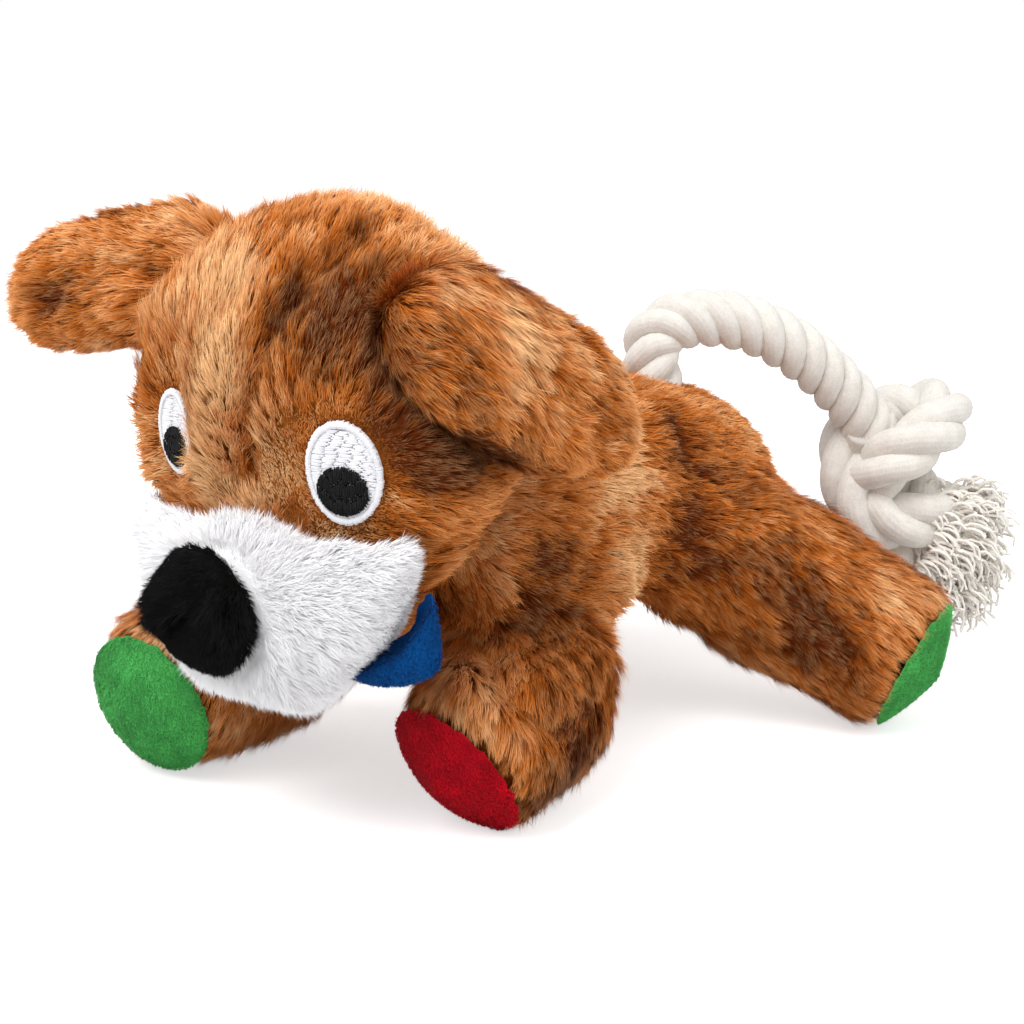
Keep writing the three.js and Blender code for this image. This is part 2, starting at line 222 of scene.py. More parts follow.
def pile_tree():
    """Fibres that stand on a mesh, lean along its comb attribute, meet in tufts and bend over at their tips.
    The mesh gives comb (a direction), pile (a share of the length) and tone (0 dark to 1 pale)."""
    tree = group_of(
        "Plush Pile",
        "GeometryNodeTree",
        {
            "Geometry": "Geometry", "Fibre": "Object", "Density": 1e6, "Length": 0.008,
            "Width": 0.0004, "Stand": 0.6, "Lie": 1.0, "Ragged": 0.2, "Clump Size": 0.009,
            "Clump Pull": 0.8, "Tuft Size": 0.0035, "Tuft Pull": 0.5, "Mottle": 0.5, "Seed": 1,
            "Material": "Material",
        },
        {"Geometry": "Geometry"},
    )
    given = put(tree, "NodeGroupInput").outputs
    place = put(tree, "GeometryNodeInputPosition").outputs[0]
    add, less, times = (partial(math_of, tree, name) for name in ("ADD", "SUBTRACT", "MULTIPLY"))
    plus, minus = (partial(vector_math, tree, name) for name in ("ADD", "SUBTRACT"))

    def scaled(vector, scale):
        return vector_math(tree, "SCALE", vector, scale=scale)

    def stored(name, kind="FLOAT"):
        return put(tree, "GeometryNodeInputNamedAttribute", {"Name": name}, data_type=kind).outputs[0]

    def store(geometry, name, value, kind, domain):
        values = {"Geometry": geometry, "Name": name, "Value": value}
        return put(tree, "GeometryNodeStoreNamedAttribute", values, data_type=kind, domain=domain).outputs[0]

    def chance(low, high, step):
        values = {2: low, 3: high, "Seed": add(given["Seed"], step)}
        return put(tree, "FunctionNodeRandomValue", values, data_type="FLOAT").outputs[1]

    def per(size):
        return scaled(place, math_of(tree, "DIVIDE", 1.0, size))

    def noise(size, detail, output=0):
        values = {"Vector": per(size), "Scale": 1.0, "Detail": detail, "Roughness": 0.6}
        return put(tree, "ShaderNodeTexNoise", values).outputs[output]

    def aimed(axis, pivot, **values):
        return put(tree, "FunctionNodeAlignRotationToVector", values, axis=axis, pivot_axis=pivot).outputs[0]

    comb, pile, tone = stored("comb", "FLOAT_VECTOR"), stored("pile"), stored("tone")
    density = times(given["Density"], math_of(tree, "GREATER_THAN", pile, LEAST_PILE))
    points = put(
        tree,
        "GeometryNodeDistributePointsOnFaces",
        {"Mesh": given["Geometry"], "Density": density, "Seed": given["Seed"]},
        distribute_method="RANDOM",
    )
    # Where the fibres lean: by clump, towards the middle of their tuft, and each a little its own way.
    swirl = scaled(minus(noise(given["Clump Size"], 2.0, 1), (0.5, 0.5, 0.5)), given["Clump Pull"])
    cell = put(tree, "ShaderNodeTexVoronoi", {"Vector": per(given["Tuft Size"]), "Scale": 1.0}).outputs
    draw = minus(cell["Position"], per(given["Tuft Size"]))
    swirl = plus(swirl, scaled(draw, given["Tuft Pull"]))
    span = {0: (-1.0, -1.0, -1.0), 1: (1.0, 1.0, 1.0), "Seed": given["Seed"]}
    loose = put(tree, "FunctionNodeRandomValue", span, data_type="FLOAT_VECTOR").outputs[0]
    swirl = plus(swirl, scaled(loose, given["Ragged"]))
    along = scaled(comb, given["Lie"])
    up = scaled(points.outputs["Normal"], given["Stand"])
    turn = aimed("Z", "AUTO", Vector=plus(plus(up, along), swirl))
    turn = aimed("Y", "Z", Rotation=turn, Vector=plus(along, swirl))
    uneven = add(0.72, times(noise(0.006, 1.0), 0.56))
    length = times(times(times(given["Length"], pile), chance(0.62, 1.12, 1.0)), uneven)
    size = put(tree, "ShaderNodeCombineXYZ", {"X": given["Width"], "Y": length, "Z": length}).outputs[0]
    fibre = put(tree, "GeometryNodeObjectInfo", {"Object": given["Fibre"]}).outputs["Geometry"]
    strands = put(
        tree,
        "GeometryNodeInstanceOnPoints",
        {"Points": points.outputs["Points"], "Instance": fibre, "Rotation": turn, "Scale": size},
    ).outputs[0]
    # The tone: in coarse and fine patches about a mean, by tuft and by fibre.
    coarse, fine, mean = times(noise(0.017, 2.0), 3.2), times(noise(0.0045, 3.0), 1.7), 2.45
    tufts = put(tree, "ShaderNodeSeparateXYZ", {0: cell["Color"]}).outputs[0]
    mottle = add(less(add(coarse, fine), mean), times(less(tufts, 0.5), 0.40))
    mottle = add(mottle, chance(-0.25, 0.25, 3.0))
    shade = add(tone, times(mottle, given["Mottle"]))
    shade = math_of(tree, "MAXIMUM", math_of(tree, "MINIMUM", shade, 0.98), 0.02)
    toned = store(strands, "strand_tone", shade, "FLOAT", "INSTANCE")
    real = put(tree, "GeometryNodeRealizeInstances", {"Geometry": toned}).outputs[0]
    # No fibre reaches below the ground.
    reach = put(tree, "ShaderNodeSeparateXYZ", {0: place}).outputs
    low = math_of(tree, "MAXIMUM", reach[2], 0.0002)
    flat = put(tree, "ShaderNodeCombineXYZ", {0: reach[0], 1: reach[1], 2: low}).outputs[0]
    real = put(tree, "GeometryNodeSetPosition", {"Geometry": real, "Position": flat}).outputs[0]
    # The map carries the tone across and the height along the fibre upwards.
    u = add(stored("strand_tone"), times(stored("side"), 0.003))
    v = add(times(stored("tip"), 0.96), 0.02)
    uv = put(tree, "ShaderNodeCombineXYZ", {"X": u, "Y": v}).outputs[0]
    mapped = store(real, "OFBake", uv, "FLOAT2", "CORNER")
    smooth = put(tree, "GeometryNodeSetShadeSmooth", {"Geometry": mapped}).outputs[0]
    values = {"Geometry": smooth, "Material": given["Material"]}
    done = put(tree, "GeometryNodeSetMaterial", values).outputs[0]
    put(tree, "NodeGroupOutput", {"Geometry": done})
    return tree


def thread_tree():
    """Tubes along the edges of a wire mesh, whose thick attribute gives a share of the thickness."""
    tree = group_of(
        "Threads",
        "GeometryNodeTree",
        {"Geometry": "Geometry", "Thickness": 0.001, "Sides": 6, "Material": "Material"},
        {"Geometry": "Geometry"},
    )
    given = put(tree, "NodeGroupInput").outputs
    thick = put(tree, "GeometryNodeInputNamedAttribute", {"Name": "thick"}, data_type="FLOAT").outputs[0]
    lines = put(tree, "GeometryNodeMeshToCurve", {"Mesh": given["Geometry"]}).outputs[0]
    lines = put(tree, "GeometryNodeSetCurveRadius", {"Curve": lines, "Radius": thick}).outputs[0]
    radius = math_of(tree, "MULTIPLY", given["Thickness"], 0.5)
    values = {"Resolution": given["Sides"], "Radius": radius}
    ring = put(tree, "GeometryNodeCurvePrimitiveCircle", values, mode="RADIUS").outputs[0]
    values = {"Curve": lines, "Profile Curve": ring, "Scale": thick, "Fill Caps": True}
    tubes = put(tree, "GeometryNodeCurveToMesh", values).outputs[0]
    smooth = put(tree, "GeometryNodeSetShadeSmooth", {"Geometry": tubes}).outputs[0]
    real = put(tree, "GeometryNodeRealizeInstances", {"Geometry": smooth}).outputs[0]
    done = put(tree, "GeometryNodeSetMaterial", {"Geometry": real, "Material": given["Material"]}).outputs[0]
    put(tree, "NodeGroupOutput", {"Geometry": done})
    return tree


def baked_down(obj, tree, values):
    """Puts a Geometry Nodes tree on obj, fills its named inputs and turns the result into a plain mesh."""
    modifier = obj.modifiers.new(tree.name, "NODES")
    modifier.node_group = tree
    for item in tree.interface.items_tree:
        if item.item_type == "SOCKET" and item.in_out == "INPUT" and item.name in values:
            modifier[item.identifier] = values[item.name]
    graph = bpy.context.evaluated_depsgraph_get()
    mesh = bpy.data.meshes.new_from_object(
        obj.evaluated_get(graph), preserve_all_data_layers=True, depsgraph=graph
    )
    obj.modifiers.clear()
    old = obj.data
    obj.data = mesh
    bpy.data.meshes.remove(old)
    for name in ("comb", "pile", "tone", "strand_tone", "tip", "side", "thick"):
        if name in mesh.attributes:
            mesh.attributes.remove(mesh.attributes[name])


# Meshes


def rows_of(items, field, width, kind=float):
    """One field of a mesh's vertices or edges, with a row for each."""
    flat = np.empty(len(items) * width, kind)
    items.foreach_get(field, flat)
    return flat.reshape(-1, width)


def points_of(mesh):
    return rows_of(mesh.vertices, "co", 3) / MM


def normals_of(mesh):
    return rows_of(mesh.vertex_normals, "vector", 3)


def edges_of(mesh):
    return rows_of(mesh.edges, "vertices", 2, int)


def set_points(mesh, points):
    mesh.vertices.foreach_set("co", (points * MM).ravel())
    mesh.update()


def relaxed(values, edges, times):
    """Values at vertices, each drawn halfway to the mean of its neighbours."""
    count = np.bincount(edges.ravel(), minlength=len(values)).astype(float)
    count = np.maximum(count, 1)[:, None]
    values = np.array(values, float)
    flat = values.ndim == 1
    values = values[:, None] if flat else values
    for _ in range(times):
        total = np.zeros_like(values)
        np.add.at(total, edges[:, 0], values[edges[:, 1]])
        np.add.at(total, edges[:, 1], values[edges[:, 0]])
        values = values + 0.5 * (total / count - values)
    return values[:, 0] if flat else values


def unit(vectors):
    vectors = np.asarray(vectors, float)
    return vectors / np.maximum(np.linalg.norm(vectors, axis=-1, keepdims=True), 1e-9)


def smooth_step(value, low, high):
    share = np.clip((value - low) / (high - low), 0, 1)
    return share * share * (3 - 2 * share)


def object_of(name, points, faces, edges=()):
    """A linked mesh object at the origin, from points in millimetres."""
    mesh = bpy.data.meshes.new(name)
    mesh.from_pydata((np.asarray(points) * MM).tolist(), list(edges), list(faces))
    mesh.update()
    if len(faces):
        mesh.shade_smooth()
    obj = bpy.data.objects.new(name, mesh)
    bpy.context.scene.collection.objects.link(obj)
    return obj


def outward(obj):
    """Turns a closed mesh's faces outwards."""
    shape = bmesh.new()
    shape.from_mesh(obj.data)
    bmesh.ops.recalc_face_normals(shape, faces=shape.faces)
    shape.to_mesh(obj.data)
    shape.free()


def give(mesh, name, values):
    """Stores a number or a direction at each vertex."""
    values = np.asarray(values, float)
    kind, field = ("FLOAT", "value") if values.ndim == 1 else ("FLOAT_VECTOR", "vector")
    attribute = mesh.attributes.new(name, kind, "POINT")
    attribute.data.foreach_set(field, values.ravel())


def merged(name):
    """A CAD node's mesh with its triangles joined."""
    shape = bmesh.new()
    shape.from_mesh(frame["nodes"][name].data)
    bmesh.ops.remove_doubles(shape, verts=shape.verts, dist=2e-6)
    bmesh.ops.recalc_face_normals(shape, faces=shape.faces)
    shape.normal_update()
    return shape


def tree_of_node(name):
    shape = merged(name)
    for vert in shape.verts:
        vert.co = vert.co / MM
    tree = BVHTree.FromBMesh(shape)
    shape.free()
    return tree


def tree_of_object(obj):
    mesh = obj.data
    return BVHTree.FromPolygons(points_of(mesh).tolist(), [tuple(face.vertices) for face in mesh.polygons])


def height_over(tree, points, most=FAR):
    """How far each point is outside a closed surface, up to a most; negative inside it."""
    heights = np.full(len(points), most)
    for k, point in enumerate(points):
        spot, normal, _, far = tree.find_nearest(Vector(point), most)
        if spot is not None:
            heights[k] = far if (Vector(point) - spot).dot(normal) >= 0 else -far
    return heights


def one_island(shape):
    """Keeps the largest connected part of a bmesh."""
    seen, islands = set(), []
    for start in shape.verts:
        if start in seen:
            continue
        island, heap = [], [start]
        seen.add(start)
        while heap:
            vert = heap.pop()
            island.append(vert)
            for edge in vert.link_edges:
                other = edge.other_vert(vert)
                if other not in seen:
                    seen.add(other)
                    heap.append(other)
        islands.append(island)
    islands.sort(key=len)
    for island in islands[:-1]:
        bmesh.ops.delete(shape, geom=island, context="VERTS")


def stuffed_skin(name, nodes, swell, sink, voxel):
    """One closed skin over CAD forms: swollen until they meet, joined, and drawn in again."""
    whole = bmesh.new()
    for node in nodes:
        shape = merged(node)
        for vert in shape.verts:
            vert.co += vert.normal * swell * MM
        step = bpy.data.meshes.new("step")
        shape.to_mesh(step)
        whole.from_mesh(step)
        shape.free()
        bpy.data.meshes.remove(step)
    obj = object_of(name, [], [])
    whole.to_mesh(obj.data)
    whole.free()
    remesh = obj.modifiers.new("Remesh", "REMESH")
    remesh.mode = "VOXEL"
    remesh.voxel_size = voxel * MM
    graph = bpy.context.evaluated_depsgraph_get()
    mesh = bpy.data.meshes.new_from_object(obj.evaluated_get(graph), depsgraph=graph)
    obj.modifiers.clear()
    obj.data = mesh
    shape = bmesh.new()
    shape.from_mesh(mesh)
    one_island(shape)
    shape.to_mesh(mesh)
    shape.free()
    mesh.update()
    edges = edges_of(mesh)
    steps = 5
    for _ in range(steps):
        set_points(mesh, relaxed(points_of(mesh), edges, 2))
        set_points(mesh, points_of(mesh) - normals_of(mesh) * (swell + sink) / steps)
    set_points(mesh, relaxed(points_of(mesh), edges, 2))
    mesh.shade_smooth()
    return obj


def part_of(obj, name, owner, mine):
    """The part of a mesh whose faces belong to one owner, as a new object, and the vertices it took.
    A face goes to its highest owner."""
    faces = [tuple(face.vertices) for face in obj.data.polygons]
    faces = [face for face in faces if max(owner[v] for v in face) == mine]
    used = sorted({v for face in faces for v in face})
    new = {v: k for k, v in enumerate(used)}
    part = object_of(name, points_of(obj.data)[used], [[new[v] for v in face] for face in faces])
    return part, np.array(used)


def surface_of(mesh):
    return points_of(mesh), normals_of(mesh), edges_of(mesh)


def away_from(points, line):
    """How far each point is from a line of points."""
    line = np.asarray(line, float)
    best = np.full(len(points), np.inf)
    for first, second in zip(line[:-1], line[1:]):
        along = second - first
        share = np.clip(((points - first) @ along) / (along @ along), 0, 1)
        best = np.minimum(best, np.linalg.norm(points - first - share[:, None] * along, axis=1))
    return best


def domed(points, normals, outer, rise):
    """How each outer point of a sole moves so that the sole swells by rise in its middle."""
    way = unit(normals[outer].mean(0))
    off = points - points[outer].mean(0)
    off = np.linalg.norm(off - (off @ way)[:, None] * way, axis=1)
    swell = rise * np.clip(1 - (off / off[outer].max()) ** 2, 0, 1) * smooth_step(normals @ way, 0.0, 0.5)
    return way * swell[:, None]


def press(obj, lines):
    """Presses seams and creases, drawn as lines on the surface, into a skin, or raises ridges on it."""
    points, normals = points_of(obj.data), normals_of(obj.data)
    for line, width, depth in lines:
        points = points - normals * (depth * np.exp(-((away_from(points, line) / width) ** 2)))[:, None]
    set_points(obj.data, points)


def under(points, normals, nodes, reach, ahead=-1.0):
    """Which points lie beneath one of the nodes, seen from a spot ahead of them."""
    hidden = np.zeros(len(points), bool)
    for tree in [tree_of_node(node) for node in nodes]:
        for k in np.flatnonzero(~hidden):
            start, way = Vector(points[k] + normals[k] * ahead), Vector(normals[k])
            hidden[k] = tree.ray_cast(start, way, reach)[0] is not None
    return hidden


def closed(obj):
    """Closes a part's open rims, which lie hidden against its neighbour."""
    shape = bmesh.new()
    shape.from_mesh(obj.data)
    rims = [edge for edge in shape.edges if edge.is_boundary]
    if rims:
        bmesh.ops.holes_fill(shape, edges=rims, sides=0)
        bmesh.ops.triangulate(shape, faces=[face for face in shape.faces if len(face.verts) > 4])
        bmesh.ops.recalc_face_normals(shape, faces=shape.faces)
        shape.to_mesh(obj.data)
    shape.free()
    obj.data.update()


def patch_on(name, tree, centre, towards, across, outline, rings, turns, lift, sink):
    """A domed, closed patch that follows the surface under it. outline gives the reach in millimetres
    at an angle, and lift the height over the surface at a share of that reach."""
    towards, across = unit(towards), unit(across)
    up = np.cross(across, towards)
    top, bottom = [], []

    def drop(share, angle):
        reach = outline(angle) * share
        aim = centre + across * math.cos(angle) * reach + up * math.sin(angle) * reach
        start = aim + towards * 60
        spot, normal, _, _ = tree.ray_cast(Vector(start), Vector(-towards), 120)
        if spot is None:
            spot, normal, _, _ = tree.find_nearest(Vector(aim))
        spot, normal = np.array(spot), np.array(normal)
        top.append(spot + normal * lift(share))
        bottom.append(spot - normal * sink)

    drop(0.0, 0.0)
    for ring in range(1, rings + 1):
        for turn in range(turns):
            drop(ring / rings, 2 * math.pi * turn / turns)
    count = len(top)
    faces = []
    for turn in range(turns):
        after = (turn + 1) % turns
        faces.append((0, 1 + turn, 1 + after))
        faces.append((count, count + 1 + after, count + 1 + turn))
        for ring in range(rings - 1):
            a, b = 1 + ring * turns, 1 + (ring + 1) * turns
            faces.append((a + turn, b + turn, b + after, a + after))
            faces.append((count + a + turn, count + a + after, count + b + after, count + b + turn))
        rim = 1 + (rings - 1) * turns
        faces.append((rim + turn, count + rim + turn, count + rim + after, rim + after))
    obj = object_of(name, top + bottom, faces)
    outward(obj)
    return obj


# Materials


def finish_of(name, roughness, **sockets):
    """A material with a Principled shader, whose constant values are set on its own sockets."""
    material = bpy.data.materials.new(name)
    material.use_nodes = True
    tree = material.node_tree
    shader = tree.nodes["Principled BSDF"]
    shader.inputs["Roughness"].default_value = roughness
    for socket, value in sockets.items():
        shader.inputs[socket.replace("_", " ")].default_value = value
    return material, tree, shader


def fibre_colours():
    """Shader group: a fibre's colour from its tone and the height along it, darkened towards the root by
    painted shade.
    """
    tree = group_of(
        "Fibre Colours",
        "ShaderNodeTree",
        {
            "Tone": 0.5, "Height": 0.5, "Dark": "Color", "Middle": "Color", "Light": "Color",
            "Root": 0.4, "Tip": 0.3,
        },
        {"Colour": "Color"},
    )
    given = put(tree, "NodeGroupInput").outputs

    def blend_of(share, first, second, kind="MIX"):
        values = {0: share, 6: first, 7: second}
        return put(tree, "ShaderNodeMix", values, data_type="RGBA", blend_type=kind).outputs[2]

    def climb(low, high, least, most):
        values = {"From Min": low, "From Max": high, "To Min": least, "To Max": most}
        values["Value"] = given["Height"]
        return put(tree, "ShaderNodeMapRange", values, interpolation_type="SMOOTHSTEP").outputs[0]

    twice = math_of(tree, "MULTIPLY", given["Tone"], 2.0)
    low = math_of(tree, "MULTIPLY", given["Tone"], 2.0, clamp=True)
    high = math_of(tree, "SUBTRACT", twice, 1.0, clamp=True)
    colour = blend_of(high, blend_of(low, given["Dark"], given["Middle"]), given["Light"])
    colour = blend_of(climb(0.55, 1.0, 0.0, given["Tip"]), colour, given["Light"])
    # Painted shade: the fibre darkens towards its root, blue and green more steeply than red.
    rise = climb(0.0, 0.85, given["Root"], 1.0)
    powers = [math_of(tree, "POWER", rise, power) for power in ROOT_SHADE_POWERS]
    shade = put(tree, "ShaderNodeCombineColor", {k: power for k, power in enumerate(powers)}).outputs[0]
    put(tree, "NodeGroupOutput", {"Colour": blend_of(1.0, colour, shade, "MULTIPLY")})
    return tree


def mottled():
    """Shader group: a colour that varies in soft patches and fine grain, and the grain's height."""
    tree = group_of(
        "Mottled",
        "ShaderNodeTree",
        {
            "Low": "Color", "High": "Color", "Patch Scale": 120.0, "Grain Scale": 900.0,
            "Stretch": "Vector",
        },
        {"Colour": "Color", "Height": "Float"},
    )
    given = put(tree, "NodeGroupInput").outputs
    place = put(tree, "ShaderNodeTexCoord").outputs["Object"]
    drawn = vector_math(tree, "MULTIPLY", place, given["Stretch"])

    def noise(values):
        return put(tree, "ShaderNodeTexNoise", values).outputs[0]

    patch = noise({"Vector": place, "Scale": given["Patch Scale"], "Detail": 3.0})
    grain = noise({"Vector": drawn, "Scale": given["Grain Scale"], "Detail": 4.0, "Roughness": 0.7})
    patches, grains = math_of(tree, "MULTIPLY", patch, 0.9), math_of(tree, "MULTIPLY", grain, 1.5)
    values = {"Value": math_of(tree, "ADD", patches, grains), "From Min": 0.85, "From Max": 1.55}
    share = put(tree, "ShaderNodeMapRange", values, interpolation_type="LINEAR").outputs[0]
    values = {0: share, 6: given["Low"], 7: given["High"]}
    colour = put(tree, "ShaderNodeMix", values, data_type="RGBA").outputs[2]
    put(tree, "NodeGroupOutput", {"Colour": colour, "Height": grain})
    return tree


def as_colour(value):
    return (*value[:3], 1.0)


def shaded(value, factor):
    return tuple(min(1.0, channel * factor) for channel in value[:3])


def pile_finish(name, colours, root, tip=0.0, roughness=0.6, sheen=0.0, gloss=0.04):
    """The finish of fibres in a dark, a middle and a light colour, read from the map that the pile
    carries: tone across, height up. Root is how pale a root stays under the painted shade that darkens
    the pile towards its roots, and tip how light a tip is."""
    material, tree, shader = finish_of(
        name, roughness, Specular_IOR_Level=gloss, Sheen_Weight=sheen, Sheen_Roughness=0.5
    )
    spot = put(tree, "ShaderNodeUVMap", uv_map="OFBake").outputs[0]
    split = put(tree, "ShaderNodeSeparateXYZ", {0: spot}).outputs
    values = {"Tone": split[0], "Height": split[1], "Root": root, "Tip": tip}
    values.update(zip(("Dark", "Middle", "Light"), map(as_colour, colours)))
    group = put(tree, "ShaderNodeGroup", values, node_tree=FIBRE_COLOURS)
    tree.links.new(group.outputs[0], shader.inputs["Base Color"])
    return material


def cloth_finish(
    name, low, high, roughness=0.9, patch=160.0, grain=1200.0, stretch=(1, 1, 1), depth=0.3, sheen=0.0
):
    """The finish of a skin, velour or cotton: mottled, with a fine grain in relief."""
    material, tree, shader = finish_of(
        name, roughness, Specular_IOR_Level=0.1, Sheen_Weight=sheen, Sheen_Roughness=0.4
    )
    shader.inputs["Sheen Tint"].default_value = as_colour(shaded(high, 1.5))
    values = {"Low": as_colour(low), "High": as_colour(high), "Patch Scale": patch, "Grain Scale": grain}
    group = put(tree, "ShaderNodeGroup", {**values, "Stretch": stretch}, node_tree=MOTTLED)
    tree.links.new(group.outputs["Colour"], shader.inputs["Base Color"])
    values = {"Height": group.outputs["Height"], "Strength": 0.8, "Distance": depth * MM}
    tree.links.new(put(tree, "ShaderNodeBump", values).outputs[0], shader.inputs["Normal"])
    return material


FIBRE_COLOURS = fibre_colours()
MOTTLED = mottled()
PILE_TREE = pile_tree()
THREAD_TREE = thread_tree()


def fibre_object():
    """One fibre of unit length and width: a leaf that thins out to both ends and bends over towards +Y."""
    points = ((0, 0, 0), (-0.5, 0.08, 0.45), (0.5, 0.08, 0.45), (0, 0.40, 0.94))
    obj = object_of("fibre", np.array(points) / MM, [(0, 2, 1), (1, 2, 3)])
    give(obj.data, "tip", np.array([0, 0.45, 0.45, 1.0]))
    give(obj.data, "side", np.array([0, -1, 1, 0.0]))
    obj.hide_render = True
    return obj


def area_of(mesh):
    """Area of the faces that carry pile, in square metres."""
    pile = rows_of(mesh.attributes["pile"].data, "value", 1)[:, 0]
    return sum(face.area for face in mesh.polygons if pile[face.vertices[0]] > LEAST_PILE)


def grow_pile(source, name, strands, **look):
    """Pile on a source mesh as a plain mesh of its own."""
    fibre = fibre_object()
    obj = bpy.data.objects.new(name, source.data.copy())
    bpy.context.scene.collection.objects.link(obj)
    values = {"Fibre": fibre, "Density": strands / area_of(obj.data)}
    for key, value in look.items():
        values[key.replace("_", " ").title()] = value
    baked_down(obj, PILE_TREE, values)
    bpy.data.objects.remove(fibre)
    return obj


def dress(obj, slot, *nodes):
    """Hides the CAD nodes that a piece stands for; slot, the name of its finish, is not used."""
    if nodes:
        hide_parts(*nodes)


def seam_ends(points, edges, mine, sole):
    """Two places along a leg: the last of its seam with the body and the first of its sole."""
    seam = points[edges[mine[edges[:, 0]] != mine[edges[:, 1]]].ravel()]
    pad = points_of(frame["nodes"][sole].data)
    way = unit(pad.mean(0) - seam.mean(0))
    start = np.percentile(seam @ way, 85)
    end = max(start + 14, np.percentile(pad @ way, 10))
    middle = seam.mean(0)
    return middle + way * (start - middle @ way), middle + way * (end - middle @ way)


WAYS = {
    "head": (0, -1, 0.38),
    "front_leg_left": (0.16, -0.80, -0.58),
    "front_leg_right": (-0.33, -0.78, -0.52),
    "hind_leg_left": (0.93, 0.20, -0.30),
    "hind_leg_right": (-0.93, 0.20, -0.30),
    "ear_left": (0.14, 0.88, -0.43),
    "ear_right": (-0.99, -0.08, -0.06),
}
# A leg's skin starts so many millimetres beyond its joint.
LEG_START = 8


def follow(obj, body):
    """The piece rides on the torso, or, on any other body, has its place baked into its mesh."""
    if body == "torso":
        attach(obj, "torso")
        return
    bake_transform(obj)


# Rope


ROUTE = SHIFT + np.array([
    (0, 83, 100), (0, 83, 108), (-1, 83, 113.5), (-1.5, 83.5, 119), (0.5, 86, 124), (4.5, 91, 127),
    (9.5, 97, 128), (15.5, 104, 127.5), (22, 111.5, 125), (28.5, 119, 120.5), (35, 127, 114),
    (41, 134.5, 106), (46.5, 141.5, 97), (51.5, 147.5, 87), (56, 152, 76), (58, 154, 69),
])
BACK = unit((0.584, -0.775, 0.242))
RIGHT = unit(np.cross((0, 0, 1), BACK))
UP = np.cross(BACK, RIGHT)
KNOT_MIDDLE = ROUTE[-1]
# The knot's strands turn once in so many millimetres.
KNOT_LAY = 52.0
# A strand's radius and how far off the path it lies, as shares of the rope's diameter.
ROPE_STRANDS = (0.220, 0.280)
KNOT_STRANDS = (0.27, 0.25)
# The millimetres between two rings of a strand's points.
RING_STEP = 1.3
# The knot's way, in millimetres to the right, up and forward of its middle.
KNOT_WAY = np.array([
    (-10, 18, 7), (-4, 7, 0), (4, -4, -7), (13, -9, -4), (17, -14, 3), (9, -19.5, 7), (-4, -20, 8),
    (-14, -12, 7), (-16.5, 1, 3), (-14, 12, -7), (-5, 20, -13), (8, 24, -13), (18, 25, -6), (21, 21, 5),
    (15, 15, 13), (5, 8, 17), (-4, 2, 15), (-8, -4, 7), (-5, -9, -3), (2, -17, -9), (7, -26, -6),
    (11, -35, -3),
])


# A strand's sides and the yarns round it, the share of its radius that is their relief, and their twist
# in a millimetre.
STRAND_SIDES = 48
STRAND_YARNS = 17
YARN_RELIEF = 0.06
YARN_TWIST = -0.16


def run_along(path):
    """How far along a path each of its points is."""
    return np.concatenate([[0], np.cumsum(np.linalg.norm(np.diff(path, axis=0), axis=1))])


def curve_through(points, step):
    """Points every step millimetres along a smooth curve through the given ones."""
    points = np.asarray(points, float)
    ends = np.vstack([2 * points[0] - points[1], points, 2 * points[-1] - points[-2]])
    fine = []
    for a, b, c, d in zip(ends[:-3], ends[1:-2], ends[2:-1], ends[3:]):
        for t in np.linspace(0, 1, 24, endpoint=False):
            fine.append(0.5 * (2 * b + (c - a) * t + (2 * a - 5 * b + 4 * c - d) * t * t
                               + (3 * b - a - 3 * c + d) * t ** 3))
    fine.append(points[-1])
    fine = np.array(fine)
    run = run_along(fine)
    count = max(2, int(round(run[-1] / step)) + 1)
    at = np.linspace(0, run[-1], count)
    return np.stack([np.interp(at, run, fine[:, k]) for k in range(3)], 1)


def sides_of(path):
    """Two directions square to a path at each of its points, carried along without twist."""
    along = unit(np.gradient(path, axis=0))
    first = np.cross(along[0], (0.3, 0.9, 0.2))
    out = []
    for way in along:
        first = unit(first - way * (first @ way))
        out.append(first)
    first = np.array(out)
    return first, np.cross(along, first)


def round_of(angle, reach, first, second):
    """Offsets at an angle about a path, from its two side directions."""
    return (np.cos(angle) * reach)[:, None] * first + (np.sin(angle) * reach)[:, None] * second


def strand(path, radius, start):
    """Points and faces of a closed strand along a path, with its yarns in relief."""
    first, second = sides_of(path)
    run = run_along(path)
    angle = 2 * math.pi * np.arange(STRAND_SIDES) / STRAND_SIDES
    points = []
    for k, spot in enumerate(path):
        wave = np.abs(np.cos(0.5 * STRAND_YARNS * (angle + start) + YARN_TWIST * run[k])) ** 0.7
        reach = radius * (1 - YARN_RELIEF + YARN_RELIEF * wave)
        points.append(spot + round_of(angle, reach, first[k], second[k]))
    points = np.vstack(points + [path[:1], path[-1:]])
    last = (len(path) - 1) * STRAND_SIDES
    steps = [(s, (s + 1) % STRAND_SIDES) for s in range(STRAND_SIDES)]
    faces = []
    for k in range(0, last, STRAND_SIDES):
        faces += [(k + s, k + t, k + STRAND_SIDES + t, k + STRAND_SIDES + s) for s, t in steps]
    for s, t in steps:
        faces.append((len(points) - 2, t, s))
        faces.append((len(points) - 1, last + s, last + t))
    return points, faces


def laid(name, path, radius, offset, lay, start):
    """Three strands laid round a path as one mesh."""
    first, second = sides_of(path)
    points, faces = [], []
    for k in range(3):
        angle = start + 2 * math.pi * (run_along(path) / lay + k / 3)
        rows, cells = strand(path + round_of(angle, offset, first, second), radius, k)
        base = sum(len(part) for part in points)
        points.append(rows)
        faces += [tuple(v + base for v in cell) for cell in cells]
    obj = object_of(name, np.vstack(points), faces)
    outward(obj)
    return obj


def wires(name, lines, thick):
    """A wire mesh of many lines, for the Threads tree. thick gives a share of thickness per point."""
    points, edges, shares = [], [], []
    for line, share in zip(lines, thick):
        base = len(points)
        points += [tuple(point) for point in line]
        shares += list(share)
        edges += [(base + k, base + k + 1) for k in range(len(line) - 1)]
    obj = object_of(name, np.array(points), [], edges)
    give(obj.data, "thick", np.array(shares))
    return obj


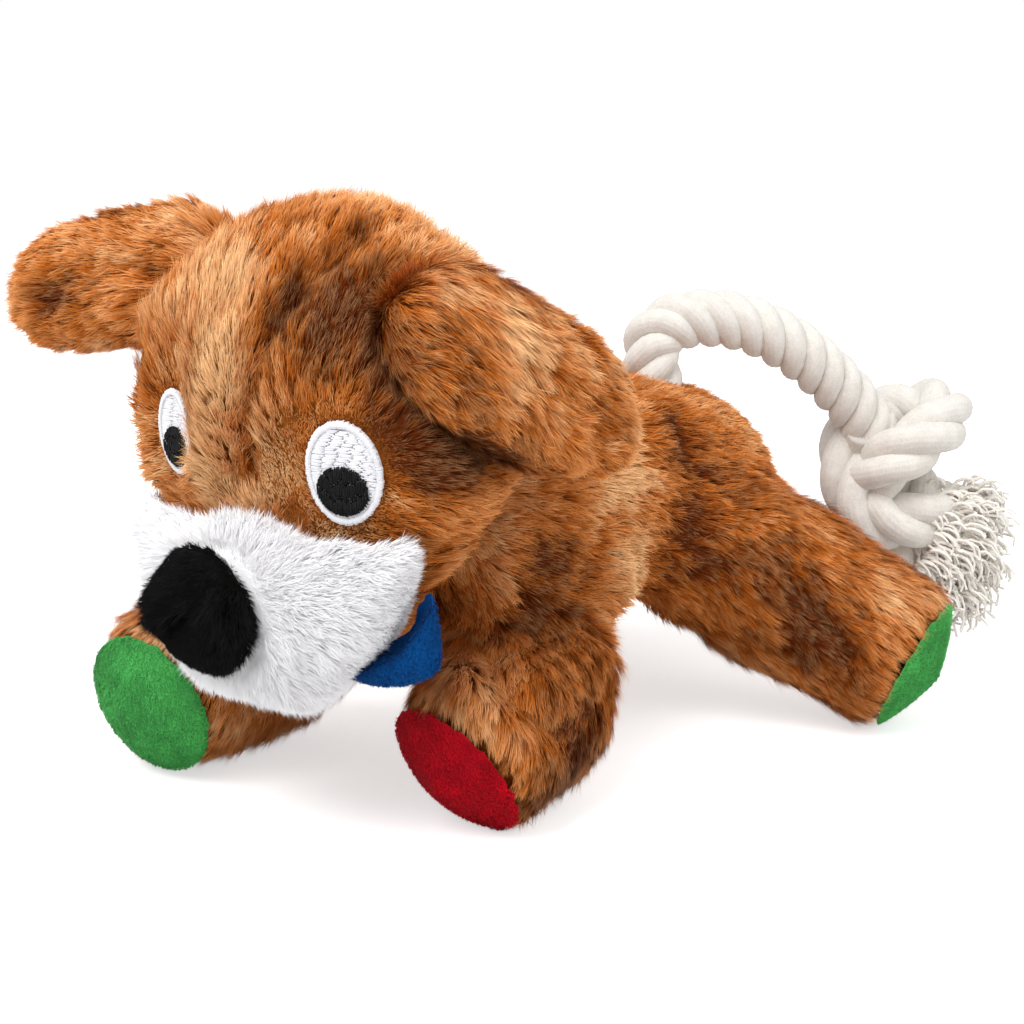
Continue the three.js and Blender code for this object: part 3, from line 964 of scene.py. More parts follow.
def tassel_yarns(count, rng):
    """Frayed yarns that leave the knot together, fan out into a ball and curl in locks."""
    root = KNOT_MIDDLE + RIGHT * 9 - UP * 25 - BACK * 4
    middle = KNOT_MIDDLE + RIGHT * 27 - UP * 28 - BACK * 2
    wide, tall, throat, ground = 20, 33, 7, 1.3
    lines, thick = [], []
    for _ in range(count):
        turn, rise = 2 * math.pi * rng.random(), 1.75 * rng.random() - 1
        flat = math.sqrt(1 - rise * rise)
        out = RIGHT * wide * flat * math.cos(turn) + BACK * wide * flat * math.sin(turn) + UP * tall * rise
        end = middle + out * (0.62 + 0.42 * rng.random())
        start = root + (RIGHT * math.cos(turn) + BACK * math.sin(turn)) * throat * math.sqrt(rng.random())
        bow = 0.4 * root + 0.6 * (middle + out * 1.15 + UP * 14)
        lock = 3 * math.cos(turn) + 2.5 * rise + 0.5 * rng.standard_normal()
        wave, pitch = 0.9 + 1.5 * rng.random(), 11 + 5 * rng.random()
        length = np.linalg.norm(end - start) * 1.15
        line, share = [], []
        for s in np.linspace(0, 1, 16):
            spot = start * (1 - s) ** 2 + bow * 2 * s * (1 - s) + end * s * s
            angle = 2 * math.pi * s * length / pitch + lock
            curl = RIGHT * math.sin(angle) + UP * math.cos(angle) + BACK * math.sin(angle + 1.3)
            spot = spot + curl * (smooth_step(s, 0.0, 0.45) * wave)
            spot[2] = max(spot[2], ground)
            line.append(spot)
            share.append((1.0 if s < 0.93 else 0.7) * (0.85 + 0.3 * rng.random()))
        lines.append(line)
        thick.append(share)
    return lines, thick


# Skins


def nearest_of(points, names):
    """The name's place in names of the CAD node nearest each point."""
    return np.argmin([height_over(tree_of_node(name), points, 1e9) for name in names], axis=0)


def clear_of(points, names, low, high):
    """0 where a point lies against one of the nodes, rising to 1 at the distance high."""
    share = np.ones(len(points))
    for name in names:
        share = np.minimum(share, smooth_step(height_over(tree_of_node(name), points), low, high))
    return share


# Places that are paler or darker: a point, how far it reaches in millimetres, and how much. Some are the
# pile's own patches. Others are painted shade, as beneath the left ear, in the hind leg's creases and low by
# the front foot, and painted highlights, as on the ear's top, the crown, the belly and the hind leg.
PATCHES_AND_PAINTED_LIGHT = (
    ((31, -98, 165), 18, -0.55), ((21, -107, 152), 13, -0.46), ((43, -101, 153), 12, -0.46),
    # Painted shadow beneath the left ear's lower edge.
    ((53, -99, 148), 10, -0.90), ((60, -95, 135), 10, -0.90), ((66, -87, 124), 9, -0.80),
    ((60, -94, 122), 12, -0.30),
    ((14, -112, 116), 10, 0.26), ((16, -111, 138), 8, -0.10), ((46, -104, 126), 10, -0.30),
    ((-12, -108, 157), 14, 0.36), ((-13, -112, 135), 12, 0.30), ((-30, -104, 150), 12, 0.16),
    ((34, -66, 176), 18, 0.24), ((44, -84, 171), 10, 0.18), ((59, -93, 118), 14, -0.46),
    ((64, -84, 113), 11, 0.22), ((57, -96, 102), 9, 0.14), ((26, -109, 94), 9, 0.16),
    ((-92, -92, 151), 9, -0.50), ((-72, -88, 168), 16, 0.16), ((-70, -92, 142), 10, 0.10),
    ((71, -76, 158), 18, 0.24), ((78, -62, 118), 13, -0.26), ((76, -30, 128), 14, 0.14),
    ((69, -100, 146), 9, -0.16), ((40, -32, 99), 11, 0.26), ((48, -36, 78), 12, -0.24),
    ((63, -43, 54), 13, -0.30), ((70, -52, 40), 12, -0.14), ((74, -44, 16), 22, -0.60),
    ((70, -60, 22), 12, -0.30), ((55, -74, 50), 10, 0.22), ((47, 20, 88), 16, 0.30), ((47, 14, 62), 18, 0.40),
    ((44, 62, 92), 20, -0.46), ((46, -26, 60), 14, -0.30), ((46, 44, 66), 14, -0.20),
    # The first two are painted shade in the hind leg's creases.
    ((98, 59, 33), 8, -0.42), ((88, 57, 49), 7, -0.34), ((88, 58, 42), 26, -0.46),
    ((-85, -85, 155), 40, -0.14), ((62, -86, 108), 16, -0.20), ((60, 52, 52), 14, -0.16),
    ((106, 75, 56), 11, 0.30), ((76, 78, 76), 12, -0.12), ((60, 60, 70), 10, 0.10),
    ((40, 96, 98), 18, 0.24), ((10, 30, 118), 28, 0.10), ((-40, 40, 80), 28, 0.10),
)
# The way that the pile lies on the body and the legs.
COMBS = {
    "torso": (0.0, 1.0, -0.40),
    "front_leg_left": (0.20, -0.30, -0.95),
    "front_leg_right": (-0.20, -0.45, -0.90),
    "hind_leg_left": (0.90, 0.25, -0.62),
    "hind_leg_right": (-0.90, 0.25, -0.62),
}
# Of each brown piece: its share of the most strands, and its layers of pile.
PILE_SHARES = {
    "torso": (0.85, 2), "head": (1.0, 2), "ear_left": (0.75, 1), "ear_right": (0.6, 1),
    "front_leg_left": (0.8, 1), "front_leg_right": (0.55, 1), "hind_leg_left": (0.85, 1),
    "hind_leg_right": (0.6, 1),
}
# How pale the brown pile is where no place and no hollow changes it.
BROWN_TONE = 0.53
# Against an ear the pile is darker, painted shade beneath the ear, and shorter, by these shares.
EAR_SHADE = 0.8
EAR_SHORT = 0.75
# A skin carries no pile so many millimetres inside its neighbour's solid, an ear half as many.
BURIED = -6.0
# The finishes that more than one piece wears, by name.
SHARED = {}


def tone_and_painted_light_of(points, normals, edges):
    """How pale the brown pile is: by place, with the painted shade and highlights of the places, and darker
    by painted shade in the hollows and a little paler on bulges.
    """
    tone = np.full(len(points), BROWN_TONE)
    for spot, radius, strength in PATCHES_AND_PAINTED_LIGHT:
        tone += strength * np.exp(-((np.linalg.norm(points - np.array(spot), axis=1) / radius) ** 2))
    hollow = np.sum((relaxed(points, edges, 8) - points) * normals, axis=1)
    return tone - np.clip(relaxed(hollow, edges, 3) * 0.20, -0.08, 0.35)


def lying(way, normals, edges, times):
    """Directions laid along a surface and evened out."""
    way = unit(relaxed(unit(way), edges, times)) * 0.98
    return way - normals * np.sum(way * normals, axis=1, keepdims=True)


def furred(obj, slot, node, cloth, layers, **combed):
    """Grows layers of pile on a skin by its comb, pile and tone, closes and clothes the skin, and dresses
    all of them."""
    mesh = obj.data
    for name, values in combed.items():
        give(mesh, name, values)
    grown = [grow_pile(obj, **layer) for layer in layers]
    for name in combed:
        mesh.attributes.remove(mesh.attributes[name])
    closed(obj)
    mesh.materials.clear()
    mesh.materials.append(cloth)
    for piece in (obj, *grown):
        dress(piece, slot, node)
    return obj, *grown


def brown(obj, part, comb, height, tone):
    """Grows a part's brown pile on its skin."""
    given = bpy.context.scene.plush_dog_pile
    if "brown" not in SHARED:
        colours = (given.dark, given.middle, given.light)
        # The backing, half as bright as the dark and the middle brown, is painted shade deep in the pile.
        SHARED["brown"] = (
            pile_finish("Brown Pile", colours, 0.36, tip=0.30, roughness=0.5),
            cloth_finish("Brown Backing", shaded(given.dark, 0.5), shaded(given.middle, 0.5)),
        )
    pile, cloth = SHARED["brown"]
    share, count = PILE_SHARES[part]
    layers = [
        dict(
            name=f"{part}_pile_{k + 1}", material=pile, strands=int(given.strands * share),
            length=given.length * (1 - 0.2 * k), width=given.width, seed=given.seed + k,
            stand=0.60 + 0.12 * k, lie=0.90, ragged=0.16, clump_size=given.clump, clump_pull=1.1,
            tuft_size=given.tuft, tuft_pull=0.34, mottle=0.46,
        )
        for k in range(count)
    ]
    for piece in furred(obj, "brown_plush", part, cloth, layers, comb=comb, pile=height, tone=tone):
        follow(piece, part)


def eye_plane(skin, node):
    """Middle, way out, directions across and up, and reach of an eye's stitches on the head's skin."""
    low, high = (np.array(corner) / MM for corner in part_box(node))
    middle = (low + high) / 2
    _, normal, _, _ = skin.find_nearest(Vector(middle))
    out = unit(np.array(normal))
    across = unit(np.cross((0, 0, 1), out))
    reach = np.array((high[0] - low[0], high[2] - low[2])) / 2
    if node.endswith("right"):
        # The box of this eye, which faces aside, is wider than the eye, and its fur hides one side.
        reach[0] *= 0.66
        middle = middle + across * 1.3
    return middle, out, across, np.cross(out, across), reach


# Pieces


# The floor reaches so many millimetres each way. A lamp's width and the camera's distance are in metres.
FLOOR_REACH = 3000
LAMP_SIZE = 0.9
CAMERA_DISTANCE = 0.700


class PLUSHDOG_OT_stage(bpy.types.Operator):
    """Makes the pale floor, the soft lamps and the camera"""

    bl_idname = "plush_dog.stage"
    bl_label = "Stage"

    def execute(self, context):
        given = context.scene.plush_dog_stage
        scene = context.scene
        scene.view_settings.view_transform = "Standard"
        corners = [(x * FLOOR_REACH, y * FLOOR_REACH, 0) for x, y in ((-1, -1), (1, -1), (1, 1), (-1, 1))]
        floor = object_of("floor", corners, [(0, 1, 2, 3)])
        material, tree, shader = finish_of("Floor", 0.9, Specular_IOR_Level=0.0)
        shader.inputs["Base Color"].default_value = as_colour(given.floor)
        seen = put(tree, "ShaderNodeLightPath").outputs["Is Camera Ray"]
        glow = math_of(tree, "MULTIPLY", seen, given.glow)
        shader.inputs["Emission Color"].default_value = (1, 1, 1, 1)
        tree.links.new(glow, shader.inputs["Emission Strength"])
        floor.data.materials.append(material)
        world = bpy.data.worlds.new("Soft Sky")
        scene.world = world
        world.use_nodes = True
        tree = world.node_tree
        tree.nodes.clear()
        path = put(tree, "ShaderNodeLightPath").outputs
        seen = math_of(tree, "MAXIMUM", path["Is Camera Ray"], path["Is Glossy Ray"])
        seen = math_of(tree, "MAXIMUM", seen, path["Is Transmission Ray"])
        plain, white = (
            put(tree, "ShaderNodeBackground", {"Color": (1, 1, 1, 1), "Strength": strength}).outputs[0]
            for strength in (given.sky, 1.0)
        )
        both = put(tree, "ShaderNodeMixShader", {0: seen, 1: plain, 2: white}).outputs[0]
        put(tree, "ShaderNodeOutputWorld", {"Surface": both})
        middle = Vector(SHIFT * MM) + Vector((0, 0, 0.075))
        for name, power, place in (
            ("key", given.key, -RIGHT * 0.42 + BACK * 0.50 + np.array((0, 0, 0.90))),
            ("fill", given.fill, RIGHT * 0.85 + BACK * 0.35 + np.array((0, 0, 0.45))),
        ):
            lamp = bpy.data.lights.new(name, "AREA")
            lamp.energy, lamp.size = power, LAMP_SIZE
            lit = bpy.data.objects.new(name, lamp)
            lit.location = middle + Vector(place)
            lit.rotation_euler = Vector(place).to_track_quat("Z", "Y").to_euler()
            scene.collection.objects.link(lit)
        lens = bpy.data.cameras.new("camera")
        lens.lens, lens.sensor_width = 75.0, 36.0
        lens.clip_start, lens.clip_end = 0.01, 20.0
        camera = bpy.data.objects.new("camera", lens)
        turn = Matrix((RIGHT, UP, BACK)).transposed().to_4x4()
        camera.matrix_world = Matrix.Translation(middle + Vector(BACK) * CAMERA_DISTANCE) @ turn
        scene.collection.objects.link(camera)
        scene.camera = camera
        return {"FINISHED"}


class PLUSHDOG_OT_rope(bpy.types.Operator):
    """Lays the rope tail, ties its knot and frays its end"""

    bl_idname = "plush_dog.rope"
    bl_label = "Rope Tail"

    def execute(self, context):
        given = context.scene.plush_dog_rope
        width = given.diameter / MM
        cotton = cloth_finish(
            "Cotton Rope", shaded(given.cotton, 0.80), given.cotton, 0.85, 260.0, 1500.0,
            depth=0.25, sheen=0.2,
        )
        yarn = cloth_finish(
            "Frayed Yarn", shaded(given.cotton, 1.04), shaded(given.cotton, 1.18), 0.85, 400.0, 2200.0,
            depth=0.15, sheen=0.2,
        )
        radius, offset = (width * share for share in ROPE_STRANDS)
        rope = laid("rope", curve_through(ROUTE, RING_STEP), radius, offset, given.lay / MM, start=0.4)
        way = KNOT_WAY[:, :1] * RIGHT + KNOT_WAY[:, 1:2] * UP + KNOT_WAY[:, 2:] * BACK
        path = curve_through(KNOT_MIDDLE + 0.94 * way, RING_STEP)
        radius, offset = (width * share for share in KNOT_STRANDS)
        knot = laid("knot", path, radius, offset, KNOT_LAY, start=1.1)
        rng = np.random.default_rng(context.scene.plush_dog_pile.seed)
        tassel = wires("tassel", *tassel_yarns(given.yarns, rng))
        baked_down(tassel, THREAD_TREE, {"Thickness": given.yarn_width, "Sides": 4, "Material": yarn})
        for piece in (rope, knot):
            piece.data.materials.append(cotton)
        for piece, slot, node in (
            (rope, "cotton_rope", "tail_rope"),
            (knot, "cotton_rope", "tail_knot"),
            (tassel, "cotton_yarn", "tail_tassel"),
        ):
            dress(piece, slot, node)
            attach(piece, "torso")
        line = curve_through(ROUTE, 3.0) * MM
        return {"FINISHED"}


class PLUSHDOG_OT_body(bpy.types.Operator):
    """Stuffs the body and its legs as one skin, and grows their brown pile"""

    bl_idname = "plush_dog.body"
    bl_label = "Body and Legs"

    def execute(self, context):
        body = stuffed_skin("body", BODY, swell=10.0, sink=3.0, voxel=3.0)
        press(body, BODY_LINES)
        points, normals, edges = surface_of(body.data)
        nearest = nearest_of(points, BODY)
        owner = np.zeros(len(points), int)
        for k, leg in enumerate(LEGS, 1):
            at = np.array(JOINTS[leg]["pos_m"]) / MM
            owner[((points - at) @ unit(WAYS[leg]) > LEG_START) & (nearest == k)] = k
        pads = [leg.replace("_leg", "_pad") for leg in LEGS]
        comb = lying(np.array([COMBS[part] for part in BODY])[owner], normals, edges, 26)
        # Beneath the left ear the pile is darker by painted shade, and shorter.
        by_ear = 1 - clear_of(points, ("ear_left",), 1.0, 8.0)
        tone = tone_and_painted_light_of(points, normals, edges) - EAR_SHADE * by_ear
        height = 0.35 + 0.65 * clear_of(points, pads, 0.5, 7.0)
        height *= 0.5 + 0.5 * smooth_step(points[:, 2], 0.0, 6.0)
        height[under(points, normals, pads, 9.0)] = 0
        height *= 1 - EAR_SHORT * by_ear
        height[height_over(tree_of_node("head"), points) < BURIED] = 0
        for k, part in enumerate(BODY):
            if k:
                seam_ends(points, edges, owner == k, pads[k - 1])
            piece, used = part_of(body, f"{part}_cloth", owner, k)
            brown(piece, part, comb[used], height[used], tone[used])
        bpy.data.objects.remove(body)
        return {"FINISHED"}


class PLUSHDOG_OT_head(bpy.types.Operator):
    """Stuffs the head, sews the seam down its middle, and grows its brown pile"""

    bl_idname = "plush_dog.head"
    bl_label = "Head"

    def execute(self, context):
        whole = stuffed_skin("whole", ("torso", "head"), swell=5.0, sink=3.0, voxel=2.8)
        press(whole, HEAD_LINES)
        points, normals, edges = surface_of(whole.data)
        skin = tree_of_object(whole)
        way = unit(points - NOSE_SPOT) + np.array((0, 0.25, 0.30))
        # The cheeks' pile hangs down and back.
        for side in (1, -1):
            cheek = smooth_step(side * (points[:, 0] - 5), 33, 52) * (1 - smooth_step(points[:, 2], 116, 140))
            way += cheek[:, None] * np.array((side * 0.4, 0.6, -1.3))
        height = clear_of(points, ("muzzle",), -0.5, 3.0)
        by_ear = 1 - clear_of(points, ("ear_left", "ear_right"), 1.0, 8.0)
        height *= (1 - EAR_SHORT * by_ear) * (0.2 + 0.8 * clear_of(points, ("tongue",), 0.5, 6.0))
        # Round the eyes the pile is short and lies away from them. It falls over the right eye's inner side.
        for side in ("left", "right"):
            middle, _, across, up, reach = eye_plane(skin, f"eye_white_{side}")
            off = points - middle
            aside, rise = off @ across, off @ up
            share = np.hypot(aside / reach[0], rise / reach[1])
            close = np.linalg.norm(off, axis=1) < 30
            grown = 0.18 + 0.82 * smooth_step(share, 1.0, 1.75)
            if side == "right":
                grown[share < 0.93] = 0
                grown = np.maximum(grown, 0.85 * smooth_step(aside / reach[0], 0.35, 0.6))
            else:
                grown[share < 0.97] = 0
            height = np.where(close, np.minimum(height, grown), height)
            near = (np.exp(-((np.linalg.norm(off, axis=1) / 18) ** 2)) * close)[:, None]
            way = way * (1 - near) + unit(off) * near
        # On the bridge of the nose it is brushed to the dog's right.
        ridge = np.exp(-(((points[:, 0] + 7) / 9) ** 2)) * (1 - smooth_step(points[:, 2], 128, 142))
        way += ridge[:, None] * np.array((-0.9, 0, 0.1))
        comb = lying(way, normals, edges, 8)
        # It is short in the seam down the face and darker there by painted shade, with a pale band of painted
        # highlight beside it; against the ears it is darker by painted shade too.
        seam = away_from(points, HEAD_LINES[0][0])
        crease = np.exp(-((seam / 4.5) ** 2))
        height *= 1 - 0.65 * crease
        tone = tone_and_painted_light_of(points, normals, edges) + 0.20 * np.exp(-(((seam - 10) / 5) ** 2))
        tone -= 0.8 * crease + EAR_SHADE * by_ear
        off_head, off_torso = (height_over(tree_of_node(name), points) for name in ("head", "torso"))
        owner = (off_head < off_torso + 3).astype(int)
        height[off_torso < BURIED] = 0
        piece, used = part_of(whole, "head_cloth", owner, 1)
        bpy.data.objects.remove(whole)
        brown(piece, "head", comb[used], height[used], tone[used])
        return {"FINISHED"}


# Lines sewn or pressed into the skins: points, width and depth in millimetres. A negative depth is a ridge.
BODY_LINES = (
    (((50, -62, 52), (60, -68, 47), (70, -66, 42), (76, -58, 36)), 5, 3.5),
    (((48, -70, 55), (58, -76, 48)), 7, -2.0),
    (((58, -12, 54), (48, 2, 60)), 10, -6.0),
    (((82, -38, 34), (80, -42, 20), (74, -50, 8)), 12, 3.5),
    (((48, 6, 54), (44, 30, 46), (42, 52, 44)), 13, -8.0),
    (((44, 60, 104), (44, 58, 92), (40, 56, 70)), 9, 3.0),
    (((101, 60, 30), (97, 59, 36), (88, 57, 48), (80, 58, 58)), 5, 6.0),
    (((82, 55, 26), (84, 55, 36)), 5, 4.5),
    (((98, 63, 52), (104, 68, 46)), 5, 4.0),
    (((108, 72, 52), (104, 80, 60)), 8, -2.0),
)
HEAD_LINES = (
    (((26, -92, 177), (19, -105, 164), (12, -112, 152), (5, -115, 132), (-1, -112, 107)), 5, 9.0),
    (((10, -102, 170), (2, -110, 152), (-7, -113, 130), (-9, -112, 110)), 8, -3.0),
    (((36, -92, 176), (30, -104, 162), (22, -111, 148), (16, -114, 128)), 8, -2.0),
    (((24, -90, 178), (22, -86, 180)), 8, -3.0),
    (((60, -96, 128), (66, -84, 114), (61, -93, 100)), 8, -2.0),
    (((47, -99, 160), (54, -98, 148), (61, -94, 134), (66, -87, 124), (68, -78, 117)), 7, 8.0),
    (((54, -98, 147), (62, -92, 133), (66, -87, 126)), 6, 4.0),
    (((60, -92, 84), (54, -97, 72), (46, -100, 60)), 10, 7.0),
    (((-37, -100, 150), (-42, -100, 127), (-42, -100, 104)), 13, -5.0),
)


class PLUSHDOG_OT_ears(bpy.types.Operator):
    """Makes the two ears, sewn into the head, and grows their brown pile"""

    bl_idname = "plush_dog.ears"
    bl_label = "Ears"

    def execute(self, context):
        low, high = (np.array(corner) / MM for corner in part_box("head"))
        for part in ("ear_left", "ear_right"):
            ear = stuffed_skin(f"{part}_cloth", (part,), swell=1.0, sink=1.4, voxel=2.0)
            press(ear, EAR_LINES[part])
            points, normals, edges = surface_of(ear.data)
            root = np.array(JOINTS[part]["pos_m"]) / MM
            inward = unit((low + high) / 2 - root)
            far = np.linalg.norm(points - root, axis=1)
            points = points + inward * (6 * (1 - smooth_step(far, 10, 30)))[:, None]
            set_points(ear.data, points)
            # The left ear's pile runs along it, and at its front down across it. The right one's fans out.
            if part == "ear_left":
                front = (1 - smooth_step(points[:, 1], -80, -45))[:, None]
                way = unit(WAYS[part]) * (1 - front) + (0.8 * RIGHT - 0.6 * UP) * front
            else:
                way = unit(points - root + 24 * unit(WAYS[part]))
            height = 1 - 0.3 * smooth_step(-normals @ UP, 0.2, 0.8)
            height[height_over(tree_of_node("head"), points) < BURIED / 2] = 0
            brown(ear, part, lying(way, normals, edges, 10), height, tone_and_painted_light_of(points, normals, edges))
        return {"FINISHED"}


EAR_LINES = {
    "ear_left": (
        (((54, -104, 160), (61, -100, 147), (67, -91, 134), (73, -78, 123), (76, -62, 117)), 8, -3.5),
        (((60, -96, 158), (66, -70, 152), (70, -45, 140)), 12, -1.5),
    ),
    "ear_right": (
        (((-99, -90, 148), (-92, -92, 154), (-82, -91, 158), (-68, -90, 159.5), (-50, -88, 161.5)), 4, 3.2),
        (((-84, -93, 143), (-62, -92, 148)), 9, -2.5),
        (((-94, -93, 150), (-91, -93, 150)), 5, 4.0),
    ),
}


class PLUSHDOG_OT_muzzle(bpy.types.Operator):
    """Makes the white muzzle and the black nose, and grows their pile"""

    bl_idname = "plush_dog.muzzle"
    bl_label = "Muzzle and Nose"

    def execute(self, context):
        given = context.scene.plush_dog_pile
        whites = ((0.92, 0.92, 0.95), (0.96, 0.96, 0.98), (0.97, 0.97, 0.98))
        blacks = ((0.001, 0.001, 0.001), (0.002, 0.002, 0.002), (0.006, 0.006, 0.007))
        white = pile_finish("White Pile", whites, 0.96, roughness=0.7, gloss=0.3)
        black = pile_finish("Black Pile", blacks, 0.5, roughness=0.5, gloss=0.05)
        white_cloth = cloth_finish("White Backing", (0.92, 0.92, 0.94), (0.95, 0.95, 0.96))
        black_cloth = cloth_finish("Black Backing", (0.003, 0.003, 0.003), (0.006, 0.006, 0.006))
        for part, voxel, sink, slot, cloth, fur, length, share in (
            ("muzzle", 2.2, 2.5, "white_plush", white_cloth, white, given.white_length, 0.95),
            ("nose", 1.4, 1.0, "black_plush", black_cloth, black, given.black_length, 0.30),
        ):
            skin = stuffed_skin(f"{part}_cloth", (part,), 0.5, sink, voxel)
            if part == "muzzle":
                points = points_of(skin.data)
                over = np.maximum((points - SHIFT) @ CHEEK_WAY - CHEEK_START, 0)
                set_points(skin.data, points - CHEEK_WAY * (0.30 * over)[:, None])
            points, normals, edges = surface_of(skin.data)
            way = unit(points - NOSE_MIDDLE)
            height = np.ones(len(points))
            if part == "muzzle":
                way = way + np.array((0, 0, -0.15))
                height *= 0.3 + 0.7 * clear_of(points, ("nose",), -0.5, 4.0)
                height[under(points, normals, ("nose",), 8.0)] = 0
                cheek = (points - SHIFT) @ CHEEK_WAY - CHEEK_START
                height *= 1 - 0.4 * smooth_step(cheek, 4, 11)
            else:
                way = way + np.array((-0.5, 0, -0.9))
                height *= smooth_step(height_over(tree_of_node("muzzle"), points, 30.0), -1.5, 0.5)
                off = points - points.mean(0)
                turn = np.degrees(np.arctan2(off @ UP, off @ RIGHT)) % 360
                height *= np.interp(turn, *zip(*NOSE_PILE))
            pile = dict(
                name=f"{part}_pile", material=fur, strands=int(given.strands * share), length=length,
                width=given.width * 0.85, seed=given.seed + 5, stand=0.85, lie=0.62, ragged=0.22,
                clump_size=given.clump * 0.8, clump_pull=0.9, tuft_size=given.tuft, tuft_pull=0.22,
                mottle=0.35,
            )
            comb, tone = lying(way, normals, edges, 10), np.full(len(points), 0.6)
            for piece in furred(skin, slot, part, cloth, [pile], comb=comb, pile=height, tone=tone):
                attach(piece, "head")
        return {"FINISHED"}


# The spot inside the nose from which its pile and the muzzle's run out.
NOSE_MIDDLE = np.array((5, -126, 74))
# The muzzle is drawn in towards the nose on the side of the tongue: which way, and from where.
CHEEK_WAY = unit(0.85 * RIGHT - 0.5 * UP)
CHEEK_START = -63.0
# How long the nose's pile is all round it, from its right by its top: degrees, share.
NOSE_PILE = (
    (0, 0.9), (45, 0.4), (90, 0.8), (130, 0.4), (180, 2.1), (200, 1.3), (225, 0.2), (270, 0.4), (315, 0.9),
    (335, 1.1), (360, 0.9),
)


class PLUSHDOG_OT_velour(bpy.types.Operator):
    """Makes the velour tongue and the four soles, with their nap"""

    bl_idname = "plush_dog.velour"
    bl_label = "Tongue and Soles"

    def execute(self, context):
        given = context.scene.plush_dog_cloth
        seed = context.scene.plush_dog_pile.seed
        for node, body, name, way, strands in (
            ("tongue", "head", "blue", (0.2, 0, -1), 9000),
            ("front_pad_left", "front_leg_left", "red", (0.5, 0, -1), 15000),
            ("front_pad_right", "front_leg_right", "green", (0.4, 0, -1), 15000),
            ("hind_pad_left", "hind_leg_left", "green", (0, 1, -0.6), 13000),
            ("hind_pad_right", "hind_leg_right", "red", (0, 1, -0.6), 13000),
        ):
            skin = stuffed_skin(f"{node}_cloth", (node,), swell=0.4, sink=0.6, voxel=1.0)
            points, normals, edges = surface_of(skin.data)
            height = np.ones(len(points))
            height[under(points, normals, (body,), 5.0, 0.3)] = 0
            if node == "tongue":
                # It hangs out beside the muzzle, and widens behind it.
                aside = points @ RIGHT
                wider = 0.85 * (aside.max() - aside)
                set_points(skin.data, points + BACK * 8.0 - RIGHT * wider[:, None])
            else:
                set_points(skin.data, points + domed(points, normals, height > 0, 3.0))
            if name not in SHARED:
                colour = getattr(given, name)
                tones = (shaded(colour, 0.5), colour, shaded(colour, 1.6))
                SHARED[name] = (
                    pile_finish(f"{name.title()} Nap", tones, 0.55, tip=0.15, roughness=0.7, sheen=0.05),
                    cloth_finish(
                        f"{name.title()} Velour", shaded(colour, 0.55), colour, 0.8, 140.0, 900.0,
                        (1, 1, 0.4), 0.4, sheen=0.1,
                    ),
                )
            fur, cloth = SHARED[name]
            nap = dict(
                name=f"{node}_nap", material=fur, strands=strands, length=given.nap, width=0.00030,
                seed=seed + 9, stand=0.7, lie=0.6, ragged=0.4, clump_size=0.005, clump_pull=1.2,
                tuft_size=0.0016, tuft_pull=0.5, mottle=0.4,
            )
            comb = lying(np.tile(np.array(way), (len(points), 1)), normals, edges, 6)
            tone = np.full(len(points), 0.5)
            slot = f"{name}_velour"
            for piece in furred(skin, slot, node, cloth, [nap], comb=comb, pile=height, tone=tone):
                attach(piece, body)
        return {"FINISHED"}


class PLUSHDOG_OT_eyes(bpy.types.Operator):
    """Embroiders the two eyes"""

    bl_idname = "plush_dog.eyes"
    bl_label = "Eyes"

    def execute(self, context):
        thread = context.scene.plush_dog_cloth.thread
        rng = np.random.default_rng(context.scene.plush_dog_pile.seed + 11)
        white = cloth_finish(
            "White Thread", (0.78, 0.78, 0.82), (0.90, 0.90, 0.93), 0.45, 300.0, 2600.0, depth=0.1, sheen=0.2
        )
        black = cloth_finish(
            "Black Thread", (0.003, 0.003, 0.003), (0.012, 0.012, 0.013), 0.45, 300.0, 2600.0, depth=0.1
        )
        skin = tree_of_object(bpy.data.objects["head_cloth"])
        for side in ("left", "right"):
            _, out, across, up, _ = eye_plane(skin, f"eye_white_{side}")
            for part, slot, finish, lift in (
                ("eye_white", "white_thread", white, 1.7),
                ("pupil", "black_thread", black, 2.2),
            ):
                node = f"{part}_{side}"
                middle, _, _, _, reach = eye_plane(skin, node)
                lines, thick = embroidery(part, reach, thread / MM, rng)
                laid_lines = []
                for line in lines:
                    placed = []
                    for a, b, rise in line:
                        aim = middle + across * a + up * b
                        spot, _, _, _ = skin.ray_cast(Vector(aim + out * 30), Vector(-out), 60)
                        if spot is None:
                            spot, _, _, _ = skin.find_nearest(Vector(aim))
                        placed.append(np.array(spot) + out * (lift + rise))
                    laid_lines.append(placed)
                piece = wires(f"{node}_thread", laid_lines, thick)
                baked_down(piece, THREAD_TREE, {"Thickness": thread * 1.5, "Sides": 6, "Material": finish})
                ground = patch_on(
                    f"{node}_ground", skin, middle, out, across,
                    lambda angle: 0.96 / math.hypot(math.cos(angle) / reach[0], math.sin(angle) / reach[1]),
                    8, 40, lambda share: lift - 0.2 - 1.0 * share ** 6, 1.0,
                )
                ground.data.materials.append(finish)
                for made in (piece, ground):
                    dress(made, slot, node)
                    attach(made, "head")
        return {"FINISHED"}


# An eye's stitches: how many thicknesses apart they lie, the gap between two in a row and the least length
# of one, in millimetres, and the share of the white's reach at which the stitches round it start.
STITCH_PITCH = 1.18
STITCH_GAP = 0.12
STITCH_LEAST = 0.6
STITCH_RING = 0.87


